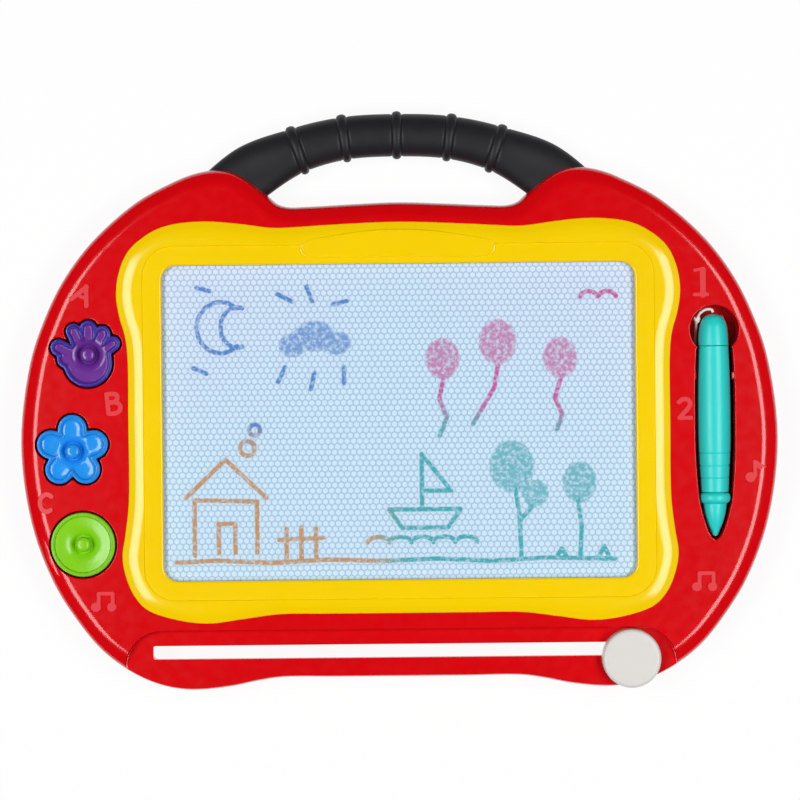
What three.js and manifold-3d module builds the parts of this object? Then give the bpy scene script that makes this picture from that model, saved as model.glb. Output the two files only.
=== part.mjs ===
// Magnetic drawing board: a flat toy case with a carry handle, a drawing panel behind a frame,
// an eraser that slides along a slot, a pen on a string and three magnetic stamps in wells.
// Lengths are in millimetres. The board lies on its back: +Z out of the drawing side, +Y to the handle.
import * as THREE from 'three';
import { mergeVertices } from 'three/addons/utils/BufferGeometryUtils.js';
import Module from 'manifold-3d';

const wasm = await Module();
wasm.setup();

// Drawing window and the panel behind it
const windowWidth = 257.4;
const windowHeight = 171.8;
const windowCorner = 8;
const filmThick = 0.6;
const coreThick = 2.6;
const sheetThick = 0.6;
const ledgeWidth = 6;
const ledgeThick = 2.2;
const ledgeCorner = 1.5;

// Case
const caseDepth = 24;
const partingHeight = 9.5;
const wall = 2.4;
const floorThick = 2.2;
const shoulderDrop = 4.7;
const shoulderWidth = 8.4;
const draftInset = 0.8;
const backEdgeRadius = 3;
const topRail = 29.3;

// Frame round the window
const frameLap = 10.3;
const frameRise = 3;
const frameEdge = 1.2;
const frameBand = 7;
const landWidth = 10.5;
const landSink = 0.5;
const landCorner = 17;
const windowFlare = 0.9;
const pegRadius = 2;
const pegLength = 5;

// Eraser
const knobRadius = 16;
const knobHeight = 7.6;
const knobEdge = 2.2;
const knobWall = 2;
const knobDrop = 4.8;
const knobGap = 1.3;
const knobLift = 0.4;
const slotHeight = 7.4;
const postLength = 20;
const barWidth = 10;
const barShort = 3.3;
const barOver = 1.2;
const barWall = 1.6;
const magnetThick = 2.5;
const armWidth = 9;
const armThick = 3.5;
const slitHeight = 4.3;
const keeperLength = 22;
const keeperWidth = 13;
const keeperThick = 2.2;
const keeperGap = 1;
const rearTrackDepth = 3.2;
const trackDepth = 5;
const trackEndGap = 9.6;
const trackCorner = 21;
const railWidth = 3;
const lowerFace = 8.6;
const footMargin = 0.4;

// Stamps
const stampHeight = 10.3;
const stampMagnet = 1.4;
const stampBase = 2;
const stampRim = 2.2;
const stampKnobRadius = 4.3;
const stampKnobHeight = 9.6;
const wellDepth = 10;
const wellWall = 2;
const wellGap = 1.6;
const sideMargin = 8.6;
const lobeReach = 12.2;
const lobeRadius = 7.8;
const discRadius = 17.5;
const palmRadius = 13.3;
const palmDrop = 4.3;
const fingerRadius = 4.7;
const fingerReach = 18.3;
const handSpace = 12.6;
const discSpace = 13.4;

// Pen
const penRadius = 9;
const penSeamRadius = 8.2;
const penCapLength = 17.7;
const penBarrelLength = 80;
const penCollarLength = 5.4;
const penConeLength = 17.8;
const penConeRadius = 6.9;
const penTipRadius = 1.3;
const penTipProud = 0.8;
const penBore = 5.4;
const spigotLength = 8;
const grooveDepth = 0.5;
const grooveWidth = 1.4;
const penSink = 14.6;
const penWellGap = 2.2;
const penCollarGap = 0.7;
const penPocketRadius = 13.3;
const nubReach = 1.7;
const nubLength = 5;

// String
const stringRadius = 0.8;
const stringHole = 1.2;
const knotRadius = 2.2;
const stopRadius = 2.4;

// Handle
const gripRise = 18.2;
const gripGirth = 11.7;
const gripDepth = 9;
const gripWall = 2.2;
const gripCentre = 10.6;
const ringProud = 2;
const ringProudDeep = 1.2;
const ringWidth = 4.8;

// Screws
const screwHead = 3.3;
const screwHeadHeight = 2;
const screwSink = 2.1;
const screwShank = 1.2;
const pilotRadius = 1.35;
const shankHole = 1.9;
const frontBoss = 3.6;
const backBoss = 5.3;
const bossRing = 1.9;
const gripScrewSpread = 15;
const gripScrewLength = 9;

// Ribs
const ribThick = 1.6;
const ribHeight = 2.8;
const crossRibHeight = 2.2;

// Clearances
const fit = 0.3;
const glueLine = 0.05;
const overrun = 1;

// Fineness of round shapes: how far an outline may cut a curve, and the length of a limb's facets
const outlineTolerance = 0.45;
const limbFacet = 4.4;
const outlineSteps = 2;
const cornerSteps = 3;
const roundSteps = 14;
const smallSteps = 8;
const gripSides = 10;
const gripStations = 12;
const ringStations = 4;
const stringSides = 8;
const stringSteps = 54;
const knotSteps = 5;

// Stack across the board, from the window outwards
const eraserReach = windowWidth / 2 - barShort;
const openingHalfWidth = eraserReach + barWidth / 2 + 2 * fit;
const openingHalfHeight = windowHeight / 2 + barOver + 2 * fit;
const panelHalfWidth = openingHalfWidth + ledgeWidth;
const panelHalfHeight = openingHalfHeight + ledgeWidth;
const pocketHalfWidth = panelHalfWidth + fit;
const pocketHalfHeight = panelHalfHeight + fit;
const pocketCorner = windowCorner + ledgeWidth;
const frameWaist = pocketHalfWidth + frameLap;
const frameFlat = pocketHalfHeight + frameLap;
const stampSpan = 2 * (lobeReach + lobeRadius);
const sideBand = stampSpan + 2 * wellGap + 2 * sideMargin;
const caseHalfWidth = frameWaist + sideBand;

// Stack down the board, from the frame to the foot
const stepY = -(frameFlat + lowerFace);
const knobY = stepY - knobGap - knobRadius;
const slotY = knobY + knobDrop;
const footY = knobY - knobRadius - footMargin;
const frameTopShare = 1.054;
const humpY = frameTopShare * frameFlat + topRail;

// Heights
const faceZ = caseDepth;
const shoulderZ = faceZ - shoulderDrop;
const faceUnder = faceZ - floorThick;
const panelTop = faceZ - wall / 3;
const filmZ = panelTop - filmThick;
const coreZ = filmZ - glueLine - coreThick;
const sheetZ = coreZ - glueLine - sheetThick;
const ledgeZ = sheetZ - glueLine;
const trackZ = faceZ - trackDepth;
const frameTop = faceZ + frameRise;
const wellFloor = faceZ - wellDepth;
const penFloor = faceZ - penSink - fit;
const penAxisZ = penFloor + fit + penRadius;
const magnetTop = ledgeZ - fit;
const barTop = magnetTop - magnetThick - glueLine;
const armZ = partingHeight + fit;
const postBottom = rearTrackDepth;
const screwLength = trackZ - floorThick - screwSink - screwHeadHeight;

// Places of the stamps and the pen in the side bands
const flowerYShare = 0.1;
const handXShare = 0.361;
const flowerXShare = 0.507;
const discXShare = 0.42;
const penXShare = 0.406;
const penTopShare = 0.41;
const flowerX = -(frameWaist + flowerXShare * sideBand);
const flowerY = flowerYShare * footY;
const handX = -(frameWaist + handXShare * sideBand);
const handY = flowerY + stampSpan + handSpace;
const discX = -(frameWaist + discXShare * sideBand);
const discY = flowerY - lobeReach - lobeRadius - discRadius - discSpace;
const penX = frameWaist + penXShare * sideBand;
const penTopY = penTopShare * humpY;
const pocketY = penTopY - penPocketRadius + penRadius / 2;

// Places down the pen from its end
const penSeam = penCapLength;
const penCollar = penSeam + penBarrelLength;
const penCone = penCollar + penCollarLength;
const penEnd = penCone + penConeLength;

// Right half of the case's outline, from the lower to the upper middle: shares of caseHalfWidth
// and, above and below the middle, of humpY and footY
const caseShares = [
  [0, -0.956], [0.17, -0.956], [0.317, -0.956], [0.381, -0.969], [0.444, -0.987], [0.539, -1],
  [0.603, -0.992], [0.666, -0.965], [0.73, -0.916], [0.793, -0.8445], [0.8505, -0.746],
  [0.916, -0.597], [0.974, -0.371], [1, -0.071], [0.9745, 0.241], [0.94, 0.399], [0.889, 0.5575],
  [0.8105, 0.7155], [0.69, 0.8735], [0.592, 0.9525], [0.539, 0.9835], [0.481, 0.9985],
  [0.434, 0.9905], [0.394, 0.9605], [0.341, 0.895], [0.315, 0.8615], [0.2885, 0.85],
  [0.24, 0.8505], [0.13, 0.8585], [0, 0.8655],
];

// Right half of the frame's outline in the same order: shares of frameWaist and frameFlat
const frameShares = [
  [0, -1], [0.27, -1], [0.45, -1.001], [0.58, -1.024], [0.716, -1.046], [0.845, -1.02],
  [0.938, -0.97], [0.982, -0.902], [1.009, -0.82], [1.026, -0.7], [1.0135, -0.568], [1.001, -0.411],
  [1, 0], [1.001, 0.351], [1.01, 0.46], [1.03, 0.56], [1.041, 0.671], [1.03, 0.79],
  [0.993, 0.905], [0.919, 0.993], [0.8455, 1.0355], [0.716, frameTopShare], [0.587, 1.04],
  [0.458, 1.017], [0.366, 1.021], [0.255, 1.03], [0, 1.043],
];

// Screws on the right half: shares of caseHalfWidth and of humpY or footY
const screwShares = [[0.466, 0.8836], [0.144, 0.769], [0.769, 0.632], [0.827, -0.668], [0.5385, -0.94]];

// Fingers of the hand stamp from the little finger to the thumb and its root: share of a half turn
// that each points at, and shares of fingerReach and fingerRadius
const fingerShares = [
  [0.204, 0.94, 0.85], [0.348, 0.96, 0.94], [0.494, 1, 1], [0.633, 1.02, 0.915],
  [0.846, 0.975, 0.98], [0.946, 0.66, 1.065],
];
const knobCrownShare = 0.77;
const petals = 5;

// Spine of the handle, from its middle into the case: shares of caseHalfWidth, and of gripRise from
// humpY, with its half width and half depth as shares of gripGirth and gripDepth
const spineShares = [
  [0, 1, 1, 1], [0.139, 0.918, 1.005, 1], [0.262, 0.571, 1.06, 1],
  [0.385, -0.094, 1.33, 0.84], [0.471, -0.918, 1.35, 0.77], [0.519, -1.5, 1.3, 0.77],
];
const ringKnots = [0, 1, 2];

// Pen down from its end: shares of each stretch's radius and length. The barrel's first number is
// the share of the way from the seam's radius to the barrel's.
const capShares = [[0, 0], [0.33, 0.025], [0.62, 0.11], [0.84, 0.3], [0.95, 0.6]];
const barrelShares = [[0, 0], [0.67, 0.2], [1, 0.5]];
const grooveShares = [0.728, 0.816, 0.898];
const noseShares = [[1, 0], [0.93, 0.25], [0.7, 0.6], [0.38, 0.925]];

function onCase([xShare, yShare]) {
  return [xShare * caseHalfWidth, yShare * (yShare > 0 ? humpY : -footY)];
}

function onFrame([xShare, yShare]) {
  return [xShare * frameWaist, yShare * frameFlat];
}

// Closed smooth outline, anticlockwise, through a right half and its mirror image. A point that
// its neighbours nearly line up with is passed over.
function smoothOutline(half) {
  const left = half.slice(1, -1).reverse().map(([x, y]) => [-x, y]);
  const knots = [...half, ...left].map(([x, y]) => new THREE.Vector3(x, y, 0));
  const curve = new THREE.CatmullRomCurve3(knots, true, 'centripetal');
  const points = curve.getPoints(knots.length * outlineSteps).map(({ x, y }) => new THREE.Vector2(x, y));
  return points.slice(1).reduce((kept, point, index) => {
    const before = kept[kept.length - 1];
    const chord = points[(index + 2) % points.length].clone().sub(before).normalize();
    const strayed = Math.abs(chord.cross(point.clone().sub(before)));
    return strayed > outlineTolerance ? [...kept, point] : kept;
  }, [points[0]]);
}

function roundedBox(x, y, halfWidth, halfHeight, radius) {
  const corners = [[1, -1], [1, 1], [-1, 1], [-1, -1]];
  return corners.flatMap(([sideX, sideY], quarter) => {
    const points = [];
    for (let step = 0; step <= cornerSteps; step += 1) {
      const angle = (quarter - 1 + step / cornerSteps) * Math.PI / 2;
      points.push(new THREE.Vector2(
        x + sideX * (halfWidth - radius) + radius * Math.cos(angle),
        y + sideY * (halfHeight - radius) + radius * Math.sin(angle),
      ));
    }
    return points;
  });
}

// Outline moved inwards by a distance, or outwards where it is negative
function inset(outline, distance) {
  const count = outline.length;
  return outline.map((point, index) => {
    const chord = outline[(index + 1) % count].clone().sub(outline[(index + count - 1) % count]);
    return point.clone().addScaledVector(new THREE.Vector2(-chord.y, chord.x).normalize(), distance);
  });
}

function toSolid(geometry) {
  geometry.deleteAttribute('normal');
  geometry.deleteAttribute('uv');
  const merged = mergeVertices(geometry);
  return new wasm.Manifold(new wasm.Mesh({
    numProp: 3,
    vertProperties: merged.attributes.position.array,
    triVerts: new Uint32Array(merged.index.array),
  }));
}

function plate(outline, bottom, top) {
  const geometry = new THREE.ExtrudeGeometry(
    new THREE.Shape(outline),
    { depth: top - bottom, bevelEnabled: false },
  );
  return toSolid(geometry.translate(0, 0, bottom));
}

function block(xMin, xMax, yMin, yMax, bottom, top) {
  const geometry = new THREE.BoxGeometry(xMax - xMin, yMax - yMin, top - bottom);
  return toSolid(geometry.translate((xMin + xMax) / 2, (yMin + yMax) / 2, (bottom + top) / 2));
}

function rod(x, y, radius, bottom, top, steps = smallSteps) {
  const geometry = new THREE.CylinderGeometry(radius, radius, top - bottom, steps);
  return toSolid(geometry.rotateX(Math.PI / 2).translate(x, y, (bottom + top) / 2));
}

// Turned piece about an upright axis at x, y, from pairs of radius and height
function turned(profile, x, y, steps) {
  const points = profile.map(([radius, height]) => new THREE.Vector2(radius, height));
  return toSolid(new THREE.LatheGeometry(points, steps).rotateX(Math.PI / 2).translate(x, y, 0));
}

// Solid through closed loops of equal length, whose ends are closed by flat caps
function loft(loops, capShapes) {
  const size = loops[0].length;
  const faces = [];
  for (let band = 0; band < loops.length - 1; band += 1) {
    for (let index = 0; index < size; index += 1) {
      const low = band * size;
      const next = (index + 1) % size;
      faces.push(low + index, low + next, low + size + next);
      faces.push(low + index, low + size + next, low + size + index);
    }
  }
  capShapes.forEach((shape, end) => {
    const first = end * (loops.length - 1) * size;
    THREE.ShapeUtils.triangulateShape(shape, []).forEach((corners) => {
      const [a, b, c] = corners.map((corner) => shape[corner]);
      const leftward = (b.x - a.x) * (c.y - a.y) - (b.y - a.y) * (c.x - a.x) > 0;
      const ordered = leftward === (end === 1) ? corners : [...corners].reverse();
      faces.push(...ordered.map((corner) => first + corner));
    });
  });
  const geometry = new THREE.BufferGeometry().setFromPoints(loops.flat());
  geometry.setIndex(faces);
  return toSolid(geometry);
}

// Solid whose outline is drawn in by level, from pairs of inset and height
function layered(outline, levels) {
  const rings = levels.map(([distance]) => inset(outline, distance));
  const loops = rings.map((ring, index) => (
    ring.map(({ x, y }) => new THREE.Vector3(x, y, levels[index][1]))
  ));
  return loft(loops, [rings[0], rings[rings.length - 1]]);
}

// One solid of several, read back as one mesh so that its flat faces lose their inner edges
function joined(solids) {
  const { vertProperties, triVerts } = solids.reduce((sum, next) => sum.add(next)).getMesh();
  return new wasm.Manifold(new wasm.Mesh({ numProp: 3, vertProperties, triVerts }));
}

function cut(solid, tools) {
  return tools.reduce((rest, tool) => rest.subtract(tool), solid);
}

function bothSides(shares) {
  return shares.flatMap((share) => {
    const [x, y] = onCase(share);
    return [[x, y], [-x, y]];
  });
}

// How far a round limb of a stamp reaches from the stamp's core at a heading
function limbReach({ angle, reach, radius }, heading) {
  const lean = Math.acos(Math.cos(heading - angle));
  if (lean >= Math.PI / 2) {
    return 0;
  }
  const aside = reach * Math.sin(lean);
  const pastSide = radius / Math.tan(lean) < reach;
  return pastSide ? radius / Math.sin(lean) : reach * Math.cos(lean) + Math.sqrt(radius ** 2 - aside ** 2);
}

// Outline of limbs in turn about a core, drawn by how far they reach at each heading
function limbOutline(limbs, core, centre) {
  const headings = limbs.flatMap(({ angle, reach, radius }, index) => {
    const next = limbs[(index + 1) % limbs.length];
    const gap = (next.angle - angle + 2 * Math.PI) % (2 * Math.PI);
    const steps = 2 * Math.max(1, Math.round(gap * core / limbFacet / 2));
    const between = [];
    for (let step = 1; step < steps; step += 1) {
      between.push(angle + gap * step / steps);
    }
    const round = [-2, -1, 0, 1, 2].map((step) => {
      const turn = step * Math.PI / 5;
      return angle + Math.atan2(radius * Math.sin(turn), reach + radius * Math.cos(turn));
    });
    return [
      ...round.map((heading) => ({ heading, round: true })),
      ...between.map((heading) => ({ heading, round: false })),
    ];
  });
  const valleys = headings.filter(({ round }) => !round);
  const apart = limbFacet / 4 / core;
  const kept = headings.filter(({ heading, round }) => (
    !round || valleys.every((valley) => Math.acos(Math.cos(valley.heading - heading)) > apart)
  ));
  const turns = kept.map(({ heading }) => Math.atan2(Math.sin(heading), Math.cos(heading)));
  return turns.sort((one, other) => one - other).map((heading) => {
    const reach = Math.max(core, ...limbs.map((limb) => limbReach(limb, heading)));
    return new THREE.Vector2(Math.cos(heading), Math.sin(heading)).multiplyScalar(reach).add(centre);
  });
}

function handOutline(grow) {
  const limbs = fingerShares.map(([turnShare, reachShare, radiusShare]) => ({
    angle: turnShare * Math.PI,
    reach: reachShare * fingerReach,
    radius: radiusShare * fingerRadius + grow,
  }));
  return limbOutline(limbs, palmRadius + grow, new THREE.Vector2(handX, handY - palmDrop));
}

function flowerOutline(grow) {
  const limbs = [];
  for (let petal = 0; petal < petals; petal += 1) {
    const angle = Math.PI / 2 + 2 * Math.PI * petal / petals;
    limbs.push({ angle, reach: lobeReach, radius: lobeRadius + grow });
  }
  return limbOutline(limbs, lobeReach - lobeRadius / 2, new THREE.Vector2(flowerX, flowerY));
}

function discOutline(grow) {
  const circle = new THREE.EllipseCurve(discX, discY, discRadius + grow, discRadius + grow);
  return circle.getPoints(roundSteps * 3 / 2).slice(1);
}

const stamps = [
  { name: 'hand', outline: handOutline, x: handX, y: handY, colour: 0x633692 },
  { name: 'flower', outline: flowerOutline, x: flowerX, y: flowerY, colour: 0x2797ec },
  { name: 'disc', outline: discOutline, x: discX, y: discY, colour: 0x8cda2c },
];

function stampBody({ outline, x, y }) {
  const bottom = wellFloor + fit + stampMagnet + glueLine;
  const top = wellFloor + stampHeight;
  const knobTop = bottom + stampKnobHeight;
  const knob = turned([
    [0, bottom], [stampKnobRadius, bottom], [stampKnobRadius, knobTop - stampKnobRadius / 2],
    [stampKnobRadius * knobCrownShare, knobTop - stampKnobRadius / 6], [0, knobTop],
  ], x, y, smallSteps);
  const hollow = plate(outline(-stampRim), bottom + stampBase, top + overrun);
  return plate(outline(0), bottom, top).subtract(hollow).add(knob);
}

function stampMagnetSheet({ outline }) {
  const bottom = wellFloor + fit;
  return plate(outline(-stampRim / 2), bottom, bottom + stampMagnet);
}

// Half widths of the pen's channel down from the pen's end: pairs of half width and distance
function penChannel(grow) {
  const side = [
    [penSeamRadius + penWellGap, 0], [penSeamRadius + penWellGap, penSeam],
    [penRadius + penWellGap, penSeam + penBarrelLength / 3],
    [penRadius + penWellGap, penCollar - penBarrelLength / 3],
    [penRadius + penCollarGap, penCollar], [penRadius + penCollarGap, penCone],
    [penConeRadius + penTipRadius, penCone + penConeLength / 2],
    [penTipRadius + penWellGap, penEnd + penWellGap],
  ];
  const right = side.map(([halfWidth, down]) => [penX + halfWidth, penTopY - down]);
  const left = side.map(([halfWidth, down]) => [penX - halfWidth, penTopY - down]);
  const points = [...left, ...right.reverse()].map(([x, y]) => new THREE.Vector2(x, y));
  return inset(points, -grow);
}


function penWell(grow, bottom, top) {
  return plate(penChannel(grow), bottom, top)
    .add(rod(penX, pocketY, penPocketRadius + grow, bottom, top, roundSteps));
}

function penNubs() {
  const y = penTopY - penCapLength - penBarrelLength / 5;
  const reach = penRadius + penWellGap;
  return [-1, 1].map((side) => {
    const inner = penX + side * (reach - nubReach);
    const outer = penX + side * (reach + wellWall / 2);
    return block(
      Math.min(inner, outer), Math.max(inner, outer),
      y - nubLength / 2, y + nubLength / 2, penFloor + 4 * stringRadius, faceZ - shoulderDrop / 2,
    );
  });
}

// Handle: half width and half depth vary along a smooth spine
function handleCurves() {
  const knots = spineShares.map(([xShare, riseShare, girthShare, depthShare]) => ({
    place: new THREE.Vector3(xShare * caseHalfWidth, humpY + riseShare * gripRise, gripCentre),
    size: new THREE.Vector3(girthShare * gripGirth, depthShare * gripDepth, 0),
  }));
  const mirror = ({ place, size }) => ({
    place: place.clone().multiply(new THREE.Vector3(-1, 1, 1)),
    size: size.clone(),
  });
  const all = [...knots.slice(1).reverse().map(mirror), ...knots];
  return {
    spine: new THREE.CatmullRomCurve3(all.map(({ place }) => place), false, 'centripetal'),
    sizes: new THREE.CatmullRomCurve3(all.map(({ size }) => size), false, 'centripetal'),
  };
}

const { spine, sizes } = handleCurves();

function gripSection(share, growGirth, growDepth, shift) {
  const along = spine.getTangent(share);
  const centre = spine.getPoint(share).addScaledVector(along, shift);
  const across = new THREE.Vector3(-along.y, along.x, 0);
  const { x: girth, y: depth } = sizes.getPoint(share);
  const loop = [];
  const flat = [];
  for (let side = 0; side < gripSides; side += 1) {
    const angle = Math.PI * 2 * side / gripSides;
    const wide = (girth + growGirth) * Math.cos(angle);
    const deep = (depth + growDepth) * Math.sin(angle);
    flat.push(new THREE.Vector2(wide, deep));
    loop.push(centre.clone().addScaledVector(across, wide).add(new THREE.Vector3(0, 0, deep)));
  }
  return { loop, flat };
}

function gripTube(grow, endShift) {
  const sections = [];
  for (let station = 0; station <= gripStations; station += 1) {
    const endSide = station === 0 ? -1 : Number(station === gripStations);
    sections.push(gripSection(station / gripStations, grow, grow, endSide * endShift));
  }
  return loft(sections.map(({ loop }) => loop), [sections[0].flat, sections[gripStations].flat]);
}

function gripRing(share) {
  const sections = [];
  for (let station = 0; station < ringStations; station += 1) {
    const along = 2 * station / (ringStations - 1) - 1;
    const swell = Math.sqrt(1 - along * along);
    const shift = along * ringWidth / 2;
    sections.push(gripSection(share, ringProud * swell - fit, ringProudDeep * swell - fit, shift));
  }
  return loft(sections.map(({ loop }) => loop), [sections[0].flat, sections[ringStations - 1].flat]);
}

const lastKnot = spineShares.length - 1;
const ringPlaces = ringKnots.flatMap((knot) => (
  knot === 0 ? [1 / 2] : [(lastKnot - knot) / lastKnot / 2, (lastKnot + knot) / lastKnot / 2]
));

const screwPlaces = bothSides(screwShares);
const tangScrews = screwPlaces.slice(0, 2);
const gripScrews = [-gripScrewSpread, gripScrewSpread].map((x) => [x, spine.getPoint(1 / 2).y]);

function handleHalves() {
  const tube = gripTube(0, 0);
  const outside = joined([tube, ...ringPlaces.map(gripRing)]);
  const hollow = gripTube(-gripWall, overrun);
  const sleeves = tangScrews.map(([x, y]) => (
    rod(x, y, backBoss + fit + gripWall, 0, caseDepth, smallSteps).intersect(tube)
  ));
  const bosses = gripScrews.map(([x, y]) => (
    rod(x, y, screwHead + fit + bossRing, 0, caseDepth, smallSteps).intersect(tube)
  ));
  const holes = tangScrews.map(([x, y]) => rod(x, y, backBoss + fit, -overrun, caseDepth));
  const body = cut(joined([outside.subtract(hollow), ...sleeves, ...bosses]), holes);
  const reach = 2 * caseHalfWidth;
  const upper = block(-reach, reach, 0, reach, gripCentre + glueLine, 2 * caseDepth);
  const lower = block(-reach, reach, 0, reach, -caseDepth, gripCentre - glueLine);
  const pilots = gripScrews.map(([x, y]) => (
    rod(x, y, pilotRadius, -overrun, gripScrewTop() + fit)
  ));
  const sinks = gripScrews.map(([x, y]) => rod(x, y, screwHead + fit, -overrun, gripHeadTop() + fit / 3));
  const clear = gripScrews.map(([x, y]) => rod(x, y, shankHole, -overrun, caseDepth));
  return {
    front: cut(body.intersect(upper), pilots),
    rear: cut(body.intersect(lower), [...sinks, ...clear]),
  };
}

function gripHeadTop() {
  return gripCentre - gripDepth + screwSink + screwHeadHeight;
}

function gripScrewTop() {
  return gripHeadTop() + gripScrewLength;
}

// Track that the knob slides on, and the slot that its post goes through
function trackArea(grow) {
  const halfWidth = eraserReach + knobRadius + trackEndGap + grow;
  const top = stepY + grow;
  const bottom = 2 * footY;
  return roundedBox(0, (top + bottom) / 2, halfWidth, (top - bottom) / 2, trackCorner + grow);
}

const slotHalfLength = eraserReach + postLength / 2 + fit;

function slotArea(grow) {
  return roundedBox(0, slotY, slotHalfLength + grow, slotHeight / 2 + grow, (wall + grow) / 2);
}

function pegPlaces() {
  const side = (pocketHalfWidth + frameWaist) / 2;
  const end = (pocketHalfHeight + frameFlat) / 2;
  return [-1, 1].flatMap((x) => [-1, 1].flatMap((y) => [
    [x * side, y * pocketHalfHeight / 2],
    [x * pocketHalfWidth / 2, y * end],
  ]));
}

const caseOutline = smoothOutline(caseShares.map(onCase));
const handleClearance = gripTube(fit, overrun);

function frontShell() {
  const outside = layered(caseOutline, [
    [0, partingHeight + glueLine], [draftInset, shoulderZ], [draftInset + shoulderWidth, faceZ],
  ]);
  const inside = layered(caseOutline, [
    [wall, partingHeight - overrun], [wall + draftInset, shoulderZ - wall / 2],
    [wall + shoulderWidth, faceUnder],
  ]);
  const wells = stamps.map(({ outline }) => (
    plate(outline(wellGap + wellWall), wellFloor - wellWall, faceZ).intersect(outside)
  ));
  const penCup = penWell(wellWall, penFloor - wellWall, faceZ);
  const ledge = plate(
    roundedBox(0, 0, pocketHalfWidth + wall, pocketHalfHeight + wall, pocketCorner + wall),
    ledgeZ - ledgeThick, faceUnder + overrun,
  );
  const trackFloor = plate(trackArea(wall), trackZ - floorThick, faceZ).intersect(outside);
  const slotWall = plate(slotArea(wall), partingHeight + glueLine, trackZ);
  const bosses = screwPlaces.map(([x, y]) => (
    rod(x, y, frontBoss, partingHeight + glueLine, faceUnder + overrun).intersect(outside)
  ));
  const cover = joined([outside.subtract(inside), ...wells, ledge, trackFloor, slotWall, penCup]);
  const shell = joined([cover.subtract(handleClearance), ...bosses]);
  const openings = [
    plate(
      roundedBox(0, 0, pocketHalfWidth, pocketHalfHeight, pocketCorner),
      ledgeZ, faceZ + overrun,
    ),
    plate(
      roundedBox(0, 0, openingHalfWidth, openingHalfHeight, ledgeCorner),
      ledgeZ - ledgeThick - overrun, ledgeZ + overrun,
    ),
    ...stamps.map(({ outline }) => plate(outline(wellGap), wellFloor, faceZ + overrun)),
    penWell(0, penFloor, faceZ + overrun),
    plate(trackArea(0), trackZ, faceZ + overrun),
    plate(slotArea(0), 0, faceZ),
    block(
      -eraserReach - armWidth / 2 - fit, eraserReach + armWidth / 2 + fit,
      slotY, slotY + slotHeight / 2 + wall + overrun, 0, partingHeight + slitHeight,
    ),
    rod(anchorX, anchorY, stringHole, 0, faceZ),
    ...pegPlaces().map(([x, y]) => rod(x, y, pegRadius + fit, 0, faceZ + overrun)),
    ...screwPlaces.map(([x, y]) => rod(x, y, pilotRadius, 0, screwTop() + fit)),
  ];
  return joined([cut(shell, openings), ...penNubs()]);
}

function screwTop() {
  return screwSink + screwHeadHeight + screwLength;
}

function ribs() {
  const reachX = pocketHalfWidth;
  const reachY = pocketHalfHeight / 2;
  const along = [-reachY, 0, reachY].map((y) => (
    block(-reachX, reachX, y - ribThick / 2, y + ribThick / 2, floorThick / 2, floorThick + ribHeight)
  ));
  const across = [-reachX / 2, 0, reachX / 2].map((x) => (
    block(
      x - ribThick / 2, x + ribThick / 2, -pocketHalfHeight, pocketHalfHeight,
      floorThick / 2, floorThick + crossRibHeight,
    )
  ));
  return [...along, ...across];
}

function rearTrack(grow) {
  return roundedBox(
    0, slotY, eraserReach + keeperLength / 2 + keeperGap + grow,
    keeperWidth / 2 + keeperGap + grow, wall + grow,
  );
}

function backShell() {
  const outside = layered(caseOutline, [
    [backEdgeRadius, 0], [backEdgeRadius / 3, backEdgeRadius / 3], [0, backEdgeRadius],
    [0, partingHeight],
  ]);
  const inside = layered(caseOutline, [
    [wall + backEdgeRadius / 3, floorThick], [wall, backEdgeRadius + floorThick],
    [wall, partingHeight + overrun],
  ]);
  const bosses = screwPlaces.map(([x, y]) => (
    rod(x, y, backBoss, 0, partingHeight).intersect(outside)
  ));
  const rail = block(
    -openingHalfWidth, openingHalfWidth,
    openingHalfHeight - 2 * railWidth, openingHalfHeight - railWidth, floorThick / 2, partingHeight,
  );
  const track = plate(rearTrack(wall), floorThick / 2, rearTrackDepth + floorThick);
  const slotWall = plate(slotArea(wall), floorThick / 2, partingHeight);
  const tray = outside.subtract(inside).subtract(handleClearance);
  const shell = joined([tray, ...bosses, rail, track, slotWall, ...ribs()]);
  return cut(shell, [
    plate(rearTrack(0), -overrun, rearTrackDepth),
    plate(slotArea(0), -overrun, partingHeight + overrun),
    ...screwPlaces.flatMap(([x, y]) => [
      rod(x, y, screwHead + fit, -overrun, screwSink + screwHeadHeight),
      rod(x, y, shankHole, 0, partingHeight + overrun),
    ]),
  ]);
}

function frame() {
  const outline = smoothOutline(frameShares.map(onFrame));
  const body = layered(outline, [
    [0, faceZ + glueLine], [0, faceZ + frameEdge],
    [frameBand / 3, faceZ + (frameEdge + frameRise) / 2], [frameBand, frameTop],
  ]);
  const skirt = plate(
    roundedBox(0, 0, pocketHalfWidth - fit, pocketHalfHeight - fit, pocketCorner - fit),
    panelTop + glueLine, faceZ + frameEdge,
  );
  const pegs = pegPlaces().map(([x, y]) => rod(x, y, pegRadius, faceZ - pegLength, faceZ + frameEdge));
  const landTop = frameTop - landSink;
  const land = plate(
    roundedBox(0, 0, windowWidth / 2 + landWidth, windowHeight / 2 + landWidth, landCorner),
    landTop, frameTop + overrun,
  );
  const opening = roundedBox(0, 0, windowWidth / 2, windowHeight / 2, windowCorner);
  const flared = layered(opening, [
    [0, panelTop - overrun], [0, landTop - windowFlare], [-windowFlare - overrun, landTop + overrun],
  ]);
  return cut(joined([body, skirt, ...pegs]), [land, flared]);
}

function panelLayer(bottom, thick) {
  return plate(
    roundedBox(0, 0, panelHalfWidth, panelHalfHeight, pocketCorner - fit),
    bottom, bottom + thick,
  );
}

// Eraser, at the right end of its slot
const knobZ = trackZ + knobLift;
const knobTop = knobZ + knobHeight;
const sliderX = eraserReach;

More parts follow.
